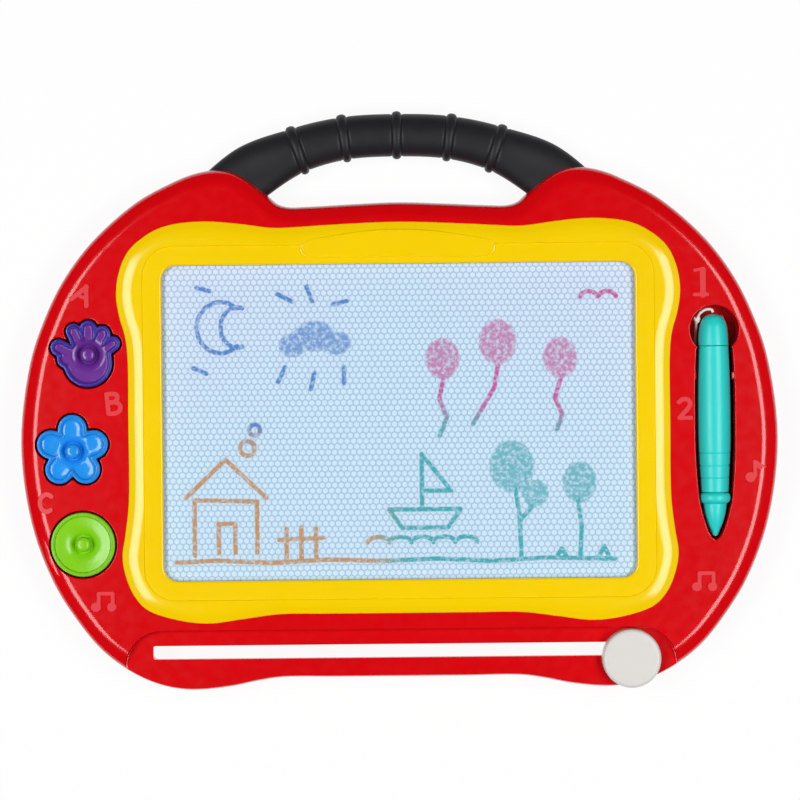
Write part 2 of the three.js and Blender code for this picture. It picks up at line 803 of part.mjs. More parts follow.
function sliderKnob() {
  const inner = knobRadius - knobWall;
  const shell = turned([
    [inner, knobZ], [knobRadius, knobZ], [knobRadius, knobTop - knobEdge],
    [knobRadius - knobEdge / 3, knobTop - knobEdge / 3], [knobRadius - knobEdge, knobTop],
    [0, knobTop], [0, knobTop - knobWall], [inner, knobTop - knobWall], [inner, knobZ],
  ], sliderX, knobY, roundSteps * 3 / 2);
  const boss = rod(sliderX, slotY, slotHeight / 2, knobZ + glueLine, knobTop - knobWall / 2);
  return shell.add(boss).subtract(rod(sliderX, slotY, pilotRadius, 0, knobTop - knobWall));
}

function sliderCarriage() {
  const half = slotHeight / 2 - fit;
  const post = plate(
    roundedBox(sliderX, slotY, postLength / 2, half, wall / 2),
    postBottom, knobZ,
  );
  const barBottom = openingHalfHeight - 2 * fit;
  const arm = block(
    sliderX - armWidth / 2, sliderX + armWidth / 2, slotY, -barBottom + armWidth, armZ, armZ + armThick,
  );
  const bar = block(
    sliderX - barWidth / 2, sliderX + barWidth / 2, -barBottom, barBottom, armZ, barTop,
  );
  const channel = block(
    sliderX - barWidth / 2 + barWall, sliderX + barWidth / 2 - barWall,
    -barBottom + barWidth, barBottom - barWall, armZ - overrun, barTop - barWall,
  );
  const hole = rod(sliderX, slotY, shankHole - fit, 0, faceZ);
  return joined([post, arm, bar.subtract(channel)]).subtract(hole);
}

function eraserMagnet() {
  const half = openingHalfHeight - 3 * fit;
  return block(
    sliderX - barWidth / 2 + fit, sliderX + barWidth / 2 - fit, -half, half,
    barTop + glueLine, magnetTop,
  );
}

function sliderKeeper() {
  const body = plate(
    roundedBox(sliderX, slotY, keeperLength / 2, keeperWidth / 2, wall),
    postBottom - keeperThick - glueLine, postBottom - glueLine,
  );
  return cut(body, [
    rod(sliderX, slotY, screwHead + fit, 0, postBottom - keeperThick / 2),
    rod(sliderX, slotY, shankHole - fit, 0, postBottom),
  ]);
}

// Screw with a low head that faces the back
function screw(x, y, headBottom, headHeight, length) {
  const headTop = headBottom + headHeight;
  return turned([
    [0, headBottom], [screwHead, headBottom], [screwHead, headTop], [screwShank, headTop],
    [screwShank, headTop + length - screwShank], [0, headTop + length],
  ], x, y, smallSteps);
}

// Pen pieces, turned about an axis that lies along Y: pairs of radius and distance from the pen's end
function penPiece(profile) {
  const points = profile.map(([radius, down]) => new THREE.Vector2(radius, -down)).reverse();
  const geometry = new THREE.LatheGeometry(points, roundSteps);
  return toSolid(geometry.translate(penX, penTopY, penAxisZ));
}

function penEndCap() {
  const crown = capShares.map(([radiusShare, lengthShare]) => (
    [radiusShare * penSeamRadius, lengthShare * penCapLength]
  ));
  return penPiece([
    ...crown, [penSeamRadius, penSeam - fit], [penBore - fit, penSeam - fit],
    [penBore - fit, penSeam + spigotLength], [0, penSeam + spigotLength],
  ]);
}

function penBarrel() {
  const skin = barrelShares.map(([radiusShare, lengthShare]) => (
    [penSeamRadius + radiusShare * (penRadius - penSeamRadius), penSeam + lengthShare * penBarrelLength]
  ));
  const grooves = grooveShares.flatMap((share) => {
    const start = penSeam + share * penBarrelLength;
    const depth = penRadius - grooveDepth;
    return [[penRadius, start], [depth, start + grooveWidth / 2], [penRadius, start + grooveWidth]];
  });
  return penPiece([
    ...skin, ...grooves, [penRadius - grooveDepth, penCollar - fit],
    [penBore, penCollar - fit], [penBore, penSeam], [penSeamRadius, penSeam],
  ]);
}

function penNose() {
  const cone = noseShares.map(([radiusShare, lengthShare]) => (
    [radiusShare * penConeRadius, penCone + lengthShare * penConeLength]
  ));
  return penPiece([
    [0, penCollar - spigotLength], [penBore - fit, penCollar - spigotLength], [penBore - fit, penCollar],
    [penRadius - grooveDepth, penCollar], [penRadius, penCollar + grooveWidth / 2],
    [penRadius, penCone - grooveWidth / 2], [penRadius - grooveDepth, penCone], ...cone,
    [penTipRadius + fit, penEnd], [penTipRadius + fit, penEnd - spigotLength],
    [0, penEnd - spigotLength],
  ]);
}

function penTip() {
  const inner = penEnd - spigotLength + fit;
  return penPiece([
    [0, inner], [penTipRadius, inner], [penTipRadius, penEnd + penTipProud / 2],
    [penTipRadius / 2, penEnd + penTipProud], [0, penEnd + penTipProud],
  ]);
}

// String from its hole in the well, down one side of the pen, round its nose and back up the other
// side to the knot and the pen's end: places from the pen's end and the floor of its well
const stringRoute = [
  [6, -1, -3.4], [6, -1, -1.4], [6, -1, 0.7], [6.3, -2.4, 2.7], [7.6, -6, 3.2], [8.6, -11, 2],
  [8.8, -17, 1.3], [9, -26, 1.2], [9.5, -40, 1.2], [9.8, -60, 1.2], [9.6, -76, 1.2],
  [8.7, -90, 1.2], [8.1, -98, 1.2], [6.9, -105, 1.2], [4.2, -110.4, 1.2], [0, -112.4, 1.2],
  [-4.2, -110.4, 1.2], [-6.9, -105, 1.2], [-8.1, -98, 1.2], [-8.7, -90, 1.2], [-9.6, -76, 1.2],
  [-9.8, -60, 1.2], [-9.5, -40, 1.2], [-9, -26, 1.2], [-8.8, -17, 1.4], [-8.9, -11.5, 3.4],
  [-9, -7, 6.6], [-8.8, -3, 9.4], [-7.4, 0.2, 10.9], [-5, 2, 11], [-2.6, 2.6, 10.2], [-0.6, 2.2, 9.5],
  [0, 0.9, 9.3],
];
const knotAt = 27 / (stringRoute.length - 1);
const [anchorDx, anchorDy, anchorDz] = stringRoute[0];
const anchorX = penX + anchorDx;
const anchorY = penTopY + anchorDy;
const stringCurve = new THREE.CatmullRomCurve3(
  stringRoute.map(([x, y, z]) => new THREE.Vector3(penX + x, penTopY + y, penFloor + z)),
  false, 'centripetal',
);

function penString() {
  const section = new THREE.Shape();
  for (let side = 0; side < stringSides; side += 1) {
    const angle = Math.PI * 2 * side / stringSides;
    const [x, y] = [stringRadius * Math.cos(angle), stringRadius * Math.sin(angle)];
    if (side === 0) {
      section.moveTo(x, y);
    } else {
      section.lineTo(x, y);
    }
  }
  return toSolid(new THREE.ExtrudeGeometry(section, {
    steps: stringSteps, extrudePath: stringCurve, bevelEnabled: false,
  }));
}

// Bead with a bore that the string runs through
function stringKnot() {
  const bore = stringRadius + 2 * fit;
  const profile = [];
  for (let step = 0; step <= knotSteps; step += 1) {
    const angle = Math.PI * (step / knotSteps - 1 / 2);
    const swell = (knotRadius - bore) * Math.cos(angle);
    profile.push(new THREE.Vector2(bore + glueLine + swell, knotRadius * Math.sin(angle)));
  }
  profile.push(profile[0].clone());
  const geometry = new THREE.LatheGeometry(profile, smallSteps);
  const along = stringCurve.getTangent(knotAt);
  const turn = new THREE.Quaternion().setFromUnitVectors(new THREE.Vector3(0, 1, 0), along);
  const centre = stringCurve.getPoint(knotAt);
  return toSolid(geometry.applyQuaternion(turn).translate(centre.x, centre.y, centre.z));
}

function stringStop() {
  const top = penFloor + anchorDz - fit;
  return turned([
    [0, top - stopRadius], [stopRadius * 2 / 3, top - stopRadius], [stopRadius, top - stopRadius / 2],
    [stopRadius * 2 / 3, top], [0, top],
  ], anchorX, anchorY, smallSteps);
}

const red = { color: 0xe31a26, roughness: 0.35, metalness: 0 };
const yellow = { color: 0xfad502, roughness: 0.35, metalness: 0 };
const black = { color: 0x353438, roughness: 0.5, metalness: 0 };
const grey = { color: 0xdfdcd7, roughness: 0.4, metalness: 0 };
const teal = { color: 0x45cfc9, roughness: 0.35, metalness: 0 };
const white = { color: 0xf2efea, roughness: 0.8, metalness: 0 };
const ice = { color: 0xc5def4, roughness: 0.3, metalness: 0 };
const ferrite = { color: 0x3a3836, roughness: 0.9, metalness: 0 };
const steel = { color: 0xb9bcc0, roughness: 0.35, metalness: 1 };

const board = new THREE.Group();

function add(name, solid, finish) {
  const { vertProperties, triVerts } = solid.getMesh();
  const geometry = new THREE.BufferGeometry();
  geometry.setAttribute('position', new THREE.BufferAttribute(vertProperties, 3));
  geometry.setIndex(new THREE.BufferAttribute(triVerts, 1));
  geometry.computeVertexNormals();
  const mesh = new THREE.Mesh(geometry, new THREE.MeshStandardMaterial(finish));
  mesh.name = name;
  board.add(mesh);
}

add('front_shell', frontShell(), red);
add('back_shell', backShell(), red);
add('bezel', frame(), yellow);
add('screen_film', panelLayer(filmZ, filmThick), ice);
add('screen_core', panelLayer(coreZ, coreThick), white);
add('screen_back_sheet', panelLayer(sheetZ, sheetThick), white);

const halves = handleHalves();
add('handle_front', halves.front, black);
add('handle_rear', halves.rear, black);
gripScrews.forEach(([x, y], index) => {
  const headBottom = gripHeadTop() - screwHeadHeight;
  add(`handle_screw_${index + 1}`, screw(x, y, headBottom, screwHeadHeight, gripScrewLength), steel);
});

add('slider_knob', sliderKnob(), grey);
add('slider_carriage', sliderCarriage(), grey);
add('eraser_magnet', eraserMagnet(), ferrite);
add('slider_keeper', sliderKeeper(), grey);
const keeperHeadBottom = postBottom - keeperThick;
const keeperHeadHeight = keeperThick / 2 - glueLine;
const keeperScrewLength = knobTop - knobWall - fit - keeperHeadBottom - keeperHeadHeight;
add('slider_screw', screw(sliderX, slotY, keeperHeadBottom, keeperHeadHeight, keeperScrewLength), steel);

stamps.forEach((stamp) => {
  add(`${stamp.name}_stamp`, stampBody(stamp), { color: stamp.colour, roughness: 0.3, metalness: 0 });
  add(`${stamp.name}_magnet`, stampMagnetSheet(stamp), ferrite);
});

add('pen_end_cap', penEndCap(), teal);
add('pen_barrel', penBarrel(), teal);
add('pen_nose', penNose(), teal);
add('pen_tip', penTip(), steel);
add('pen_string', penString(), white);
add('string_knot', stringKnot(), white);
add('string_stop', stringStop(), white);

screwPlaces.forEach(([x, y], index) => {
  add(`case_screw_${index + 1}`, screw(x, y, screwSink, screwHeadHeight, screwLength), steel);
});

// The board rests on its back with the middle of its bounding box over the origin
const extent = new THREE.Box3().setFromObject(board);
board.position.set(0, -(extent.min.y + extent.max.y) / 2, 0);
const part = new THREE.Group();
part.add(board);
part.updateMatrixWorld(true);

export default part;
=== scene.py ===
# Magnetic drawing board, seen from straight above: red case with a carry handle, yellow frame round
# a panel of hexagonal cells, an eraser knob in its track, three stamps and a pen in their wells.
# Lengths in the tables are millimetres in the model's frame; mm() turns them to metres.
import math

import bmesh
import bpy
from mathutils import Matrix, Vector
from mathutils.bvhtree import BVHTree


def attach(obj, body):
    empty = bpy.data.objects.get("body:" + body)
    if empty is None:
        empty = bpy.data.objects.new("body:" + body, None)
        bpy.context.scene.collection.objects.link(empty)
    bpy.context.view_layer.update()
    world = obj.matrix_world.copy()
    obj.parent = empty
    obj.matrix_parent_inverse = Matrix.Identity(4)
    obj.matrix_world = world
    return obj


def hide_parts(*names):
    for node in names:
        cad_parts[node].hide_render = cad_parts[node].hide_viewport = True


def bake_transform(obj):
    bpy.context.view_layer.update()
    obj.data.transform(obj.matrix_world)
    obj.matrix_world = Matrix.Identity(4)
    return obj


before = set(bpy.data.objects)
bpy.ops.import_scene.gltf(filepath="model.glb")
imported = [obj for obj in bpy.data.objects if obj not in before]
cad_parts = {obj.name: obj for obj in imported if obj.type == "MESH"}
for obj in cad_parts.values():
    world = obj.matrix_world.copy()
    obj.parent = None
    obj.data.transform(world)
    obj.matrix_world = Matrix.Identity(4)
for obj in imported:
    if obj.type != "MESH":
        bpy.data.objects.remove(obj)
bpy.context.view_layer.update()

MM = 0.001
FULL_TURN = 2 * math.pi

# Camera: its place and focal length, its sensor's width, and the board's slight turn in the picture
CAMERA_PLACE = (0.0005, -0.0004, 1.25)
LENS, SENSOR = 101.3, 36
ROLL = math.radians(-0.55)

# Picture's frame: column and row over the model's origin, and a pixel's size on the face
PIXEL_COLUMN, PIXEL_ROW = 399.1, 399.5
PIXEL = 0.5447

# Softboxes: size, distances from the board's middle, and power above and below it
SOFTBOX = (0.65, 1.5)
SOFTBOX_X, SOFTBOX_Y, SOFTBOX_Z = 0.97, -0.1, 1.5
UPPER_WATTS, LOWER_WATTS = 21, 14
FLOOR_GAP = 0.03

# Case: heights of its levels, half sizes about the window's middle, and walls
WINDOW_Y = -12.048
CASE_HALF = 208
HUMP_Y = 139.23
FOOT_Y = 146.6
PARTING_Z = 9.5
FACE_Z = 24
TRACK_Z = 19
WALL = 2.4
SEAM = 0.05
UNDER_FACE = 22.6
BACK_INSIDE = 1.1

# Window, its frame and the panel behind it
WINDOW_HALF = (128.7, 85.9)
WINDOW_CORNER = 8
FRAME_HALF = (147.6, 104.3)
FRAME_TOP = 27
LAND_HALF, LAND_CORNER = (139.2, 96.4), 17
PANEL_HALF, PANEL_CORNER = (137.3, 94), 14
PANEL_FLOOR = 19.25
OPENING_HALF, OPENING_CORNER = (131, 87.7), 1.5

# Eraser: knob, slot and the lowered track round it, which runs out over the case's lower edge
KNOB_X, KNOB_Y, KNOB_RADIUS = 125.4, -142.248, 16
SLOT_Y, SLOT_HALF, SLOT_CORNER = -137.448, (135.7, 3.7), 1.2
STEP_Y, TRACK_HALF, TRACK_CORNER, TRACK_END = -124.948, 151, 21, -300
REAR_TRACK_HALF, REAR_TRACK_DEPTH = (137.4, 7.5), 3.2

# Stamps: middles, heights and shapes
HAND = (-169.404, 25.892)
FLOWER = (-178.223, -26.708)
DISC = (-172.968, -77.608)
WELL_FLOOR, WELL_GAP, WELL_WALL = 14, 1.05, 3.6
STAMP_BOTTOM, STAMP_FLOOR, STAMP_TOP = 15.75, 17.75, 24.3
GRASP_RADIUS, GRASP_TOP = 4.3, 25.35
PALM_DROP, PALM_RADIUS = 4.3, 13.3
LOBE_REACH, LOBE_RADIUS, LOBES = 12.2, 7.8, 5
DISC_RADIUS = 17.5

# Fingers of the hand stamp from the little finger to the thumb and its root: share of a half turn,
# reach, radius
FINGERS = [
    (0.204, 17.2, 4), (0.348, 17.57, 4.42), (0.494, 18.3, 4.7), (0.633, 18.67, 4.3), (0.846, 17.84, 4.6),
    (0.946, 12.08, 5),
]

# Screws: places on one side of the case, places in the grip, and radii
SCREWS = [(96.9, 111.0), (30, 95.0), (160, 75.9), (172, -110.0), (112, -149.9)]
GRIP_SCREWS = [(-15, 145.4), (15, 145.4)]
HEAD_RADIUS, SINK_RADIUS, SHANK_HOLE, PILOT = 3.3, 3.6, 1.9, 1.35
FRONT_BOSS, BACK_BOSS = 3.6, 5.3

# Right half of the case's outline from the lower to the upper middle: shares of CASE_HALF and of
# HUMP_Y above or FOOT_Y below the window's middle
CASE_SHARES = [
    (0, -0.956), (0.17, -0.956), (0.317, -0.956), (0.381, -0.969), (0.444, -0.987), (0.539, -1),
    (0.603, -0.992), (0.666, -0.965), (0.73, -0.916), (0.793, -0.8445), (0.8505, -0.746),
    (0.916, -0.597), (0.974, -0.371), (1, -0.071), (0.9745, 0.241), (0.94, 0.399),
    (0.889, 0.5575), (0.8105, 0.7155), (0.69, 0.8735), (0.592, 0.9525), (0.539, 0.9835),
    (0.481, 0.9985), (0.434, 0.9905), (0.394, 0.9605), (0.341, 0.895), (0.315, 0.8615),
    (0.2885, 0.85), (0.24, 0.8505), (0.13, 0.8585), (0, 0.8655),
]

# Right half of the yellow frame's outline in the same order: shares of FRAME_HALF
FRAME_SHARES = [
    (0, -1), (0.27, -1), (0.45, -1.001), (0.58, -1.024), (0.716, -1.046), (0.845, -1.02),
    (0.938, -0.97), (0.982, -0.902), (1.009, -0.82), (1.026, -0.7), (1.0135, -0.568),
    (1.001, -0.411), (1, 0), (1.001, 0.351), (1.01, 0.46), (1.03, 0.56), (1.041, 0.671),
    (1.03, 0.79), (0.993, 0.905), (0.919, 0.993), (0.8455, 1.0355), (0.716, 1.054),
    (0.587, 1.04), (0.458, 1.017), (0.366, 1.021), (0.255, 1.03), (0, 1.043),
]

# Right half of the name plaque's outline on the yellow frame, from its lower to its upper middle
PLAQUE = [
    (0, 77.4), (20, 77.35), (44, 77.3), (50.5, 78.4), (53, 81.2), (52.2, 84.6), (48.5, 86.8), (38, 88.8),
    (24, 90.9), (10, 92.2), (0, 92.4),
]

# Edges by level, from pairs of inset and height
CASE_RIDGE = [
    (0, PARTING_Z + SEAM), (0.08, 12.2), (0.25, 14.2), (0.6, 16.35), (1, 18), (1.4, 19.1), (1.8, 19.9),
    (2.2, 20.5), (2.6, 20.95), (3, 21.28), (6.9, 23.1), (7.4, 23.32), (7.9, 23.5), (8.4, 23.655),
    (8.9, 23.78), (9.4, 23.875), (9.9, 23.943), (10.4, 23.984), (10.9, FACE_Z),
]
BACK_EDGE = [
    (3, 0), (2, 0.15), (1, 0.65), (0.35, 1.5), (0.05, 2.6), (0, 3.2), (0, PARTING_Z - 0.25),
    (0.25, PARTING_Z),
]
FRAME_EDGE = [
    (0, FACE_Z + SEAM), (0, 24.3), (0.12, 24.5), (0.35, 24.66), (0.7, 24.77), (3, 25.7), (3.5, 25.89),
    (4, 26.05), (5, 26.33), (6, 26.56), (7, 26.745), (8, 26.885), (8.6, 26.95), (9.2, 26.99), (10, FRAME_TOP),
]
LAND_EDGE = [(0.5, 26.5), (0.2, 26.55), (0, 26.75), (-0.1, 26.95), (-0.6, 27.3), (-0.6, 29)]
FLARE_EDGE = [(0, 20), (0, 25.3), (-0.2, 25.9), (-0.6, 26.3), (-1.3, 26.5), (-1.8, 27.6)]
PLAQUE_EDGE = [(0, 25.5), (0, 26.95), (0.15, 27.15), (0.5, 27.28), (1.2, 27.3)]
NUB_EDGE = [(0, 12.3), (0, 20.6), (0.5, 21.4), (1.1, 21.65)]

# Pen: its end's place, the well's floor, and the well from the pen's end: radius of the pocket, its
# middle and neck, and the half widths of the channel below by their distance down
PEN_X, PEN_TOP_Y, PEN_FLOOR, PEN_AXIS_Z = 172.122, 45.037, 9.1, 18.4
POCKET_RADIUS, POCKET_DROP = 13.4, 8.6
POCKET_NECK_Y = -1.2
PEN_CHANNEL = [
    (10, -19), (10.1, -22), (10.5, -30), (10.9, -42), (10.95, -58), (10.8, -74), (10.3, -85), (9.9, -91),
    (9.45, -96), (8.95, -101.5), (7.75, -107), (6.3, -112.4), (4.4, -117.9), (2.3, -121.8),
]
NUB_X, NUB_DROP, NUB_HALF, NUB_CORNER = 11.4, 33.7, (1.9, 2.5), 1.2

# Handle's spine from its middle into the case: x, y, half width and half depth
GRIP_Z, GRIP_WALL = 10.6, 2.2
GRIP_KNOTS = [
    (0, 145.38, 11.7, 9), (28.9, 143.89, 11.76, 9), (54.5, 137.57, 12.4, 9),
    (80.1, 125.47, 15.56, 7.56), (98, 110.47, 15.8, 6.93), (108, 99.88, 15.21, 6.93),
]

# Rings by their way along the spine: half width, rise sideways and forwards, and the groove beside
RING_PLACES = (-55.3, -28.95, 0, 28.95, 55.3)
RING_HALF, RING_RISE, RING_RISE_DEEP = 2.4, 1.55, 1.1
GROOVE_DIP, GROOVE_WIDTH = 0.35, 1.0
GRIP_STEP = 2.2
SLEEVE_RADIUS, SLEEVE_BORE, GRIP_BOSS = 7.8, 5.6, 5.5
RING_STATIONS = (4, 3.3, 2.9, 2.5, 2.35, 2, 1.4, 0.7)

# String's route from the hole in the well round the pen to its end: from the pen's end, in the well
STRING_ROUTE = [
    (6, -1, -3.4), (6, -1, -1.4), (6, -1, 0.7), (6.3, -2.4, 2.7), (7.6, -6, 3.2), (8.6, -11, 2),
    (8.8, -17, 1.3), (9, -26, 1.2), (9.5, -40, 1.2), (9.8, -60, 1.2), (9.6, -76, 1.2),
    (8.7, -90, 1.2), (8.1, -98, 1.2), (6.9, -105, 1.2), (4.2, -110.4, 1.2), (0, -112.4, 1.2),
    (-4.2, -110.4, 1.2), (-6.9, -105, 1.2), (-8.1, -98, 1.2), (-8.7, -90, 1.2), (-9.6, -76, 1.2),
    (-9.8, -60, 1.2), (-9.5, -40, 1.2), (-9, -26, 1.2), (-8.8, -17, 1.4), (-8.9, -11.5, 3.4),
    (-9, -7, 6.6), (-8.8, -3, 9.4), (-7.4, 0.2, 10.9), (-5, 2, 11), (-2.6, 2.6, 10.2),
    (-0.6, 2.2, 9.5), (0, 0.9, 9.3),
]
STRING_RADIUS, STRING_HOLE, STRING_TWISTS = 0.8, 1.2, 70
KNOT_AT, KNOT_SIZE, KNOT_STRAND, KNOT_STEPS = 27, 0.47, 0.75, 54


def mm(*lengths):
    return Vector([length * MM for length in lengths])


# modelling by hand

def activate(piece):
    bpy.ops.object.select_all(action="DESELECT")
    piece.select_set(True)
    bpy.context.view_layer.objects.active = piece


def edit_all():
    bpy.ops.object.mode_set(mode="EDIT")
    bpy.ops.mesh.select_all(action="SELECT")


def sweep(name, loops, closed=False):
    """Filled circle set on the first loop and extruded on to each next one. A closed sweep is
    bridged from its last loop back to its first."""
    bpy.ops.object.select_all(action="DESELECT")
    fill = "NOTHING" if closed else "NGON"
    bpy.ops.mesh.primitive_circle_add(vertices=len(loops[0]), fill_type=fill)
    piece = bpy.context.object
    piece.name = name
    for vertex, place in zip(piece.data.vertices, loops[0]):
        vertex.co = mm(*place)
    edit_all()
    for loop in loops[1:]:
        if closed:
            bpy.ops.mesh.extrude_edges_move()
        else:
            bpy.ops.mesh.extrude_region_move()
        mesh = bmesh.from_edit_mesh(piece.data)
        for vertex, place in zip([v for v in mesh.verts if v.select], loop):
            vertex.co = mm(*place)
        bmesh.update_edit_mesh(piece.data)
    if closed:
        mesh = bmesh.from_edit_mesh(piece.data)
        for edge in mesh.edges:
            edge.select_set(edge.is_boundary)
        bpy.ops.mesh.bridge_edge_loops()
    bpy.ops.mesh.select_all(action="SELECT")
    bpy.ops.mesh.normals_make_consistent(inside=False)
    bpy.ops.object.mode_set(mode="OBJECT")
    return piece


def smooth_curve(knots, closed, steps):
    """Points of a curve that passes smoothly through the knots, of any number of numbers each."""
    count = len(knots)
    knots = [Vector(knot) for knot in knots]

    def knot(index):
        if closed:
            return knots[index % count]
        if index < 0:
            return 2 * knots[0] - knots[1]
        if index >= count:
            return 2 * knots[-1] - knots[-2]
        return knots[index]

    points = []
    for segment in range(count if closed else count - 1):
        p = [knot(segment + shift) for shift in (-1, 0, 1, 2)]
        gaps = [max((p[i + 1] - p[i]).length ** 0.5, 1e-6) for i in range(3)]
        start = (p[1] - p[0]) / gaps[0] - (p[2] - p[0]) / (gaps[0] + gaps[1]) + (p[2] - p[1]) / gaps[1]
        end = (p[2] - p[1]) / gaps[1] - (p[3] - p[1]) / (gaps[1] + gaps[2]) + (p[3] - p[2]) / gaps[2]
        start, end = start * gaps[1], end * gaps[1]
        for step in range(steps):
            t = step / steps
            points.append(
                p[1] + t * start + t ** 2 * (3 * (p[2] - p[1]) - 2 * start - end)
                + t ** 3 * (2 * (p[1] - p[2]) + start + end)
            )
    return points if closed else [*points, knots[-1]]


def mirrored_outline(half, steps=6):
    left = [(-x, y) for x, y in reversed(half[1:-1])]
    return smooth_curve([*half, *left], True, steps)


def inset(outline, distance):
    """Outline moved inwards, or outwards where the distance is negative."""
    count = len(outline)
    moved = []
    for index, point in enumerate(outline):
        chord = outline[(index + 1) % count] - outline[index - 1]
        moved.append(point + Vector((-chord.y, chord.x)).normalized() * distance)
    return moved


def levelled(name, outline, levels):
    """Solid whose outline is drawn in by level, from pairs of inset and height."""
    return sweep(name, [[(x, y, height) for x, y in inset(outline, drawn)] for drawn, height in levels])


def grown(name, outline, levels):
    """Like levelled, for an outline that is drawn anew at each level from how far it is grown."""
    return sweep(name, [[(x, y, height) for x, y in outline(-drawn)] for drawn, height in levels])


def rounded_box(x, y, half_width, half_height, radius, steps=8):
    points = []
    for quarter, (side_x, side_y) in enumerate([(1, -1), (1, 1), (-1, 1), (-1, -1)]):
        for step in range(steps + 1):
            angle = (quarter - 1 + step / steps) * FULL_TURN / 4
            points.append(Vector((
                x + side_x * (half_width - radius) + radius * math.cos(angle),
                y + side_y * (half_height - radius) + radius * math.sin(angle),
            )))
    return points


def grown_box(y, half, corner, growth=0.0, steps=8):
    """Rounded box on the board's middle line, grown all round."""
    return rounded_box(0, y, half[0] + growth, half[1] + growth, corner + growth, steps)


def ellipse(x, y, radius_x, radius_y, steps):
    angles = [FULL_TURN * i / steps for i in range(steps)]
    return [Vector((x + radius_x * math.cos(a), y + radius_y * math.sin(a))) for a in angles]


def circle(x, y, radius, steps=32):
    return ellipse(x, y, radius, radius, steps)


def rod(x, y, radius, bottom, top, steps=32):
    return levelled("rod", circle(x, y, radius, steps), [(0, bottom), (0, top)])


def block(x_min, x_max, y_min, y_max, bottom, top):
    corners = [Vector(c) for c in ((x_min, y_min), (x_max, y_min), (x_max, y_max), (x_min, y_max))]
    return sweep("block", [[(c.x, c.y, z) for c in corners] for z in (bottom, top)])


def combine(piece, tools, operation="DIFFERENCE"):
    """Boolean modifiers applied one after the other; the tools are used up."""
    for tool in tools:
        activate(piece)
        modifier = piece.modifiers.new("combine", "BOOLEAN")
        modifier.operation = operation
        modifier.solver = "EXACT"
        modifier.object = tool
        bpy.ops.object.modifier_apply(modifier=modifier.name)
        bpy.data.objects.remove(tool)
    return piece


def merge_into(piece, others):
    activate(piece)
    for other in others:
        other.select_set(True)
    bpy.ops.object.join()
    return piece


def settle(piece, name, body, finish, nodes=(), angle=32, weighted=True):
    """Last work on a piece: doubles merged, shading, material, body and the nodes it stands for."""
    piece.name = name
    piece.data.name = name
    activate(piece)
    edit_all()
    bpy.ops.mesh.remove_doubles(threshold=2e-6)
    bpy.ops.object.mode_set(mode="OBJECT")
    bpy.ops.object.shade_smooth_by_angle(angle=math.radians(angle))
    if weighted:
        modifier = piece.modifiers.new("flats", "WEIGHTED_NORMAL")
        modifier.keep_sharp = True
        bpy.ops.object.modifier_apply(modifier=modifier.name)
    if finish:
        piece.data.materials.clear()
        piece.data.materials.append(finish)
    if nodes:
        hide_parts(*nodes)
    if body:
        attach(piece, body)
    return piece


# materials

def linear(hex_colour):
    """sRGB hex value to a linear colour."""
    parts = [(hex_colour >> shift & 255) / 255 for shift in (16, 8, 0)]
    return (*[p / 12.92 if p <= 0.04045 else ((p + 0.055) / 1.055) ** 2.4 for p in parts], 1)


def node(tree, kind, values=None, links=None, **settings):
    """Shader node with its settings, the values of its inputs and the outputs linked to them."""
    made = tree.nodes.new("ShaderNode" + kind)
    for key, value in settings.items():
        setattr(made, key, value)
    for socket, value in (values or {}).items():
        made.inputs[socket].default_value = value
    for socket, source in (links or {}).items():
        tree.links.new(source, made.inputs[socket])
    return made


def new_material(name):
    material = bpy.data.materials.new(name)
    material.use_nodes = True
    tree = material.node_tree
    tree.nodes.clear()
    return material, tree


def moulded_plastic(name, shade, deep, roughness, grain, relief, rim=None, ior=1.53):
    """Injection-moulded plastic. Broad soft changes of tone come from the melt's flow, a fine waviness of
    grain millimetres keeps its reflections from being glassy, and hairline scuffs vary the gloss. A piece
    with a rim attribute is painted there in the rim's tone, which stands in for the shade and reflection on
    its high rim tops."""
    material, tree = new_material(name)
    place = {"Vector": node(tree, "TexCoord").outputs["Object"]}
    flow = node(tree, "TexNoise", {"Scale": 1 / (45 * MM), "Detail": 2.0, "Roughness": 0.5}, place)
    tone = node(tree, "Mix", {6: linear(deep), 7: linear(shade)}, {0: flow.outputs[0]}, data_type="RGBA")
    if rim is not None:
        # Painted light: the rim attribute blends in the rim's tone, a shade and reflection painted on the
        # high rim tops
        edge = node(tree, "Attribute", attribute_name="rim").outputs["Fac"]
        tone = node(tree, "Mix", {7: linear(rim)}, {0: edge, 6: tone.outputs[2]}, data_type="RGBA")
    scuffs = node(tree, "TexNoise", {"Scale": 1 / (6 * MM), "Detail": 3.0, "Roughness": 0.5}, place)
    gloss = node(tree, "MapRange",
                 {"From Min": 0.3, "From Max": 0.7, "To Min": roughness - 0.02, "To Max": roughness + 0.04},
                 {"Value": scuffs.outputs[0]})
    skin = node(tree, "TexNoise", {"Scale": 1 / (grain * MM), "Detail": 1.5}, place)
    bump = node(tree, "Bump", {"Strength": 1.0, "Distance": relief * MM}, {"Height": skin.outputs[0]})
    shader = node(tree, "BsdfPrincipled", {"IOR": ior},
                  {"Base Color": tone.outputs[2], "Roughness": gloss.outputs[0], "Normal": bump.outputs[0]})
    node(tree, "OutputMaterial", links={"Surface": shader.outputs[0]})
    return material
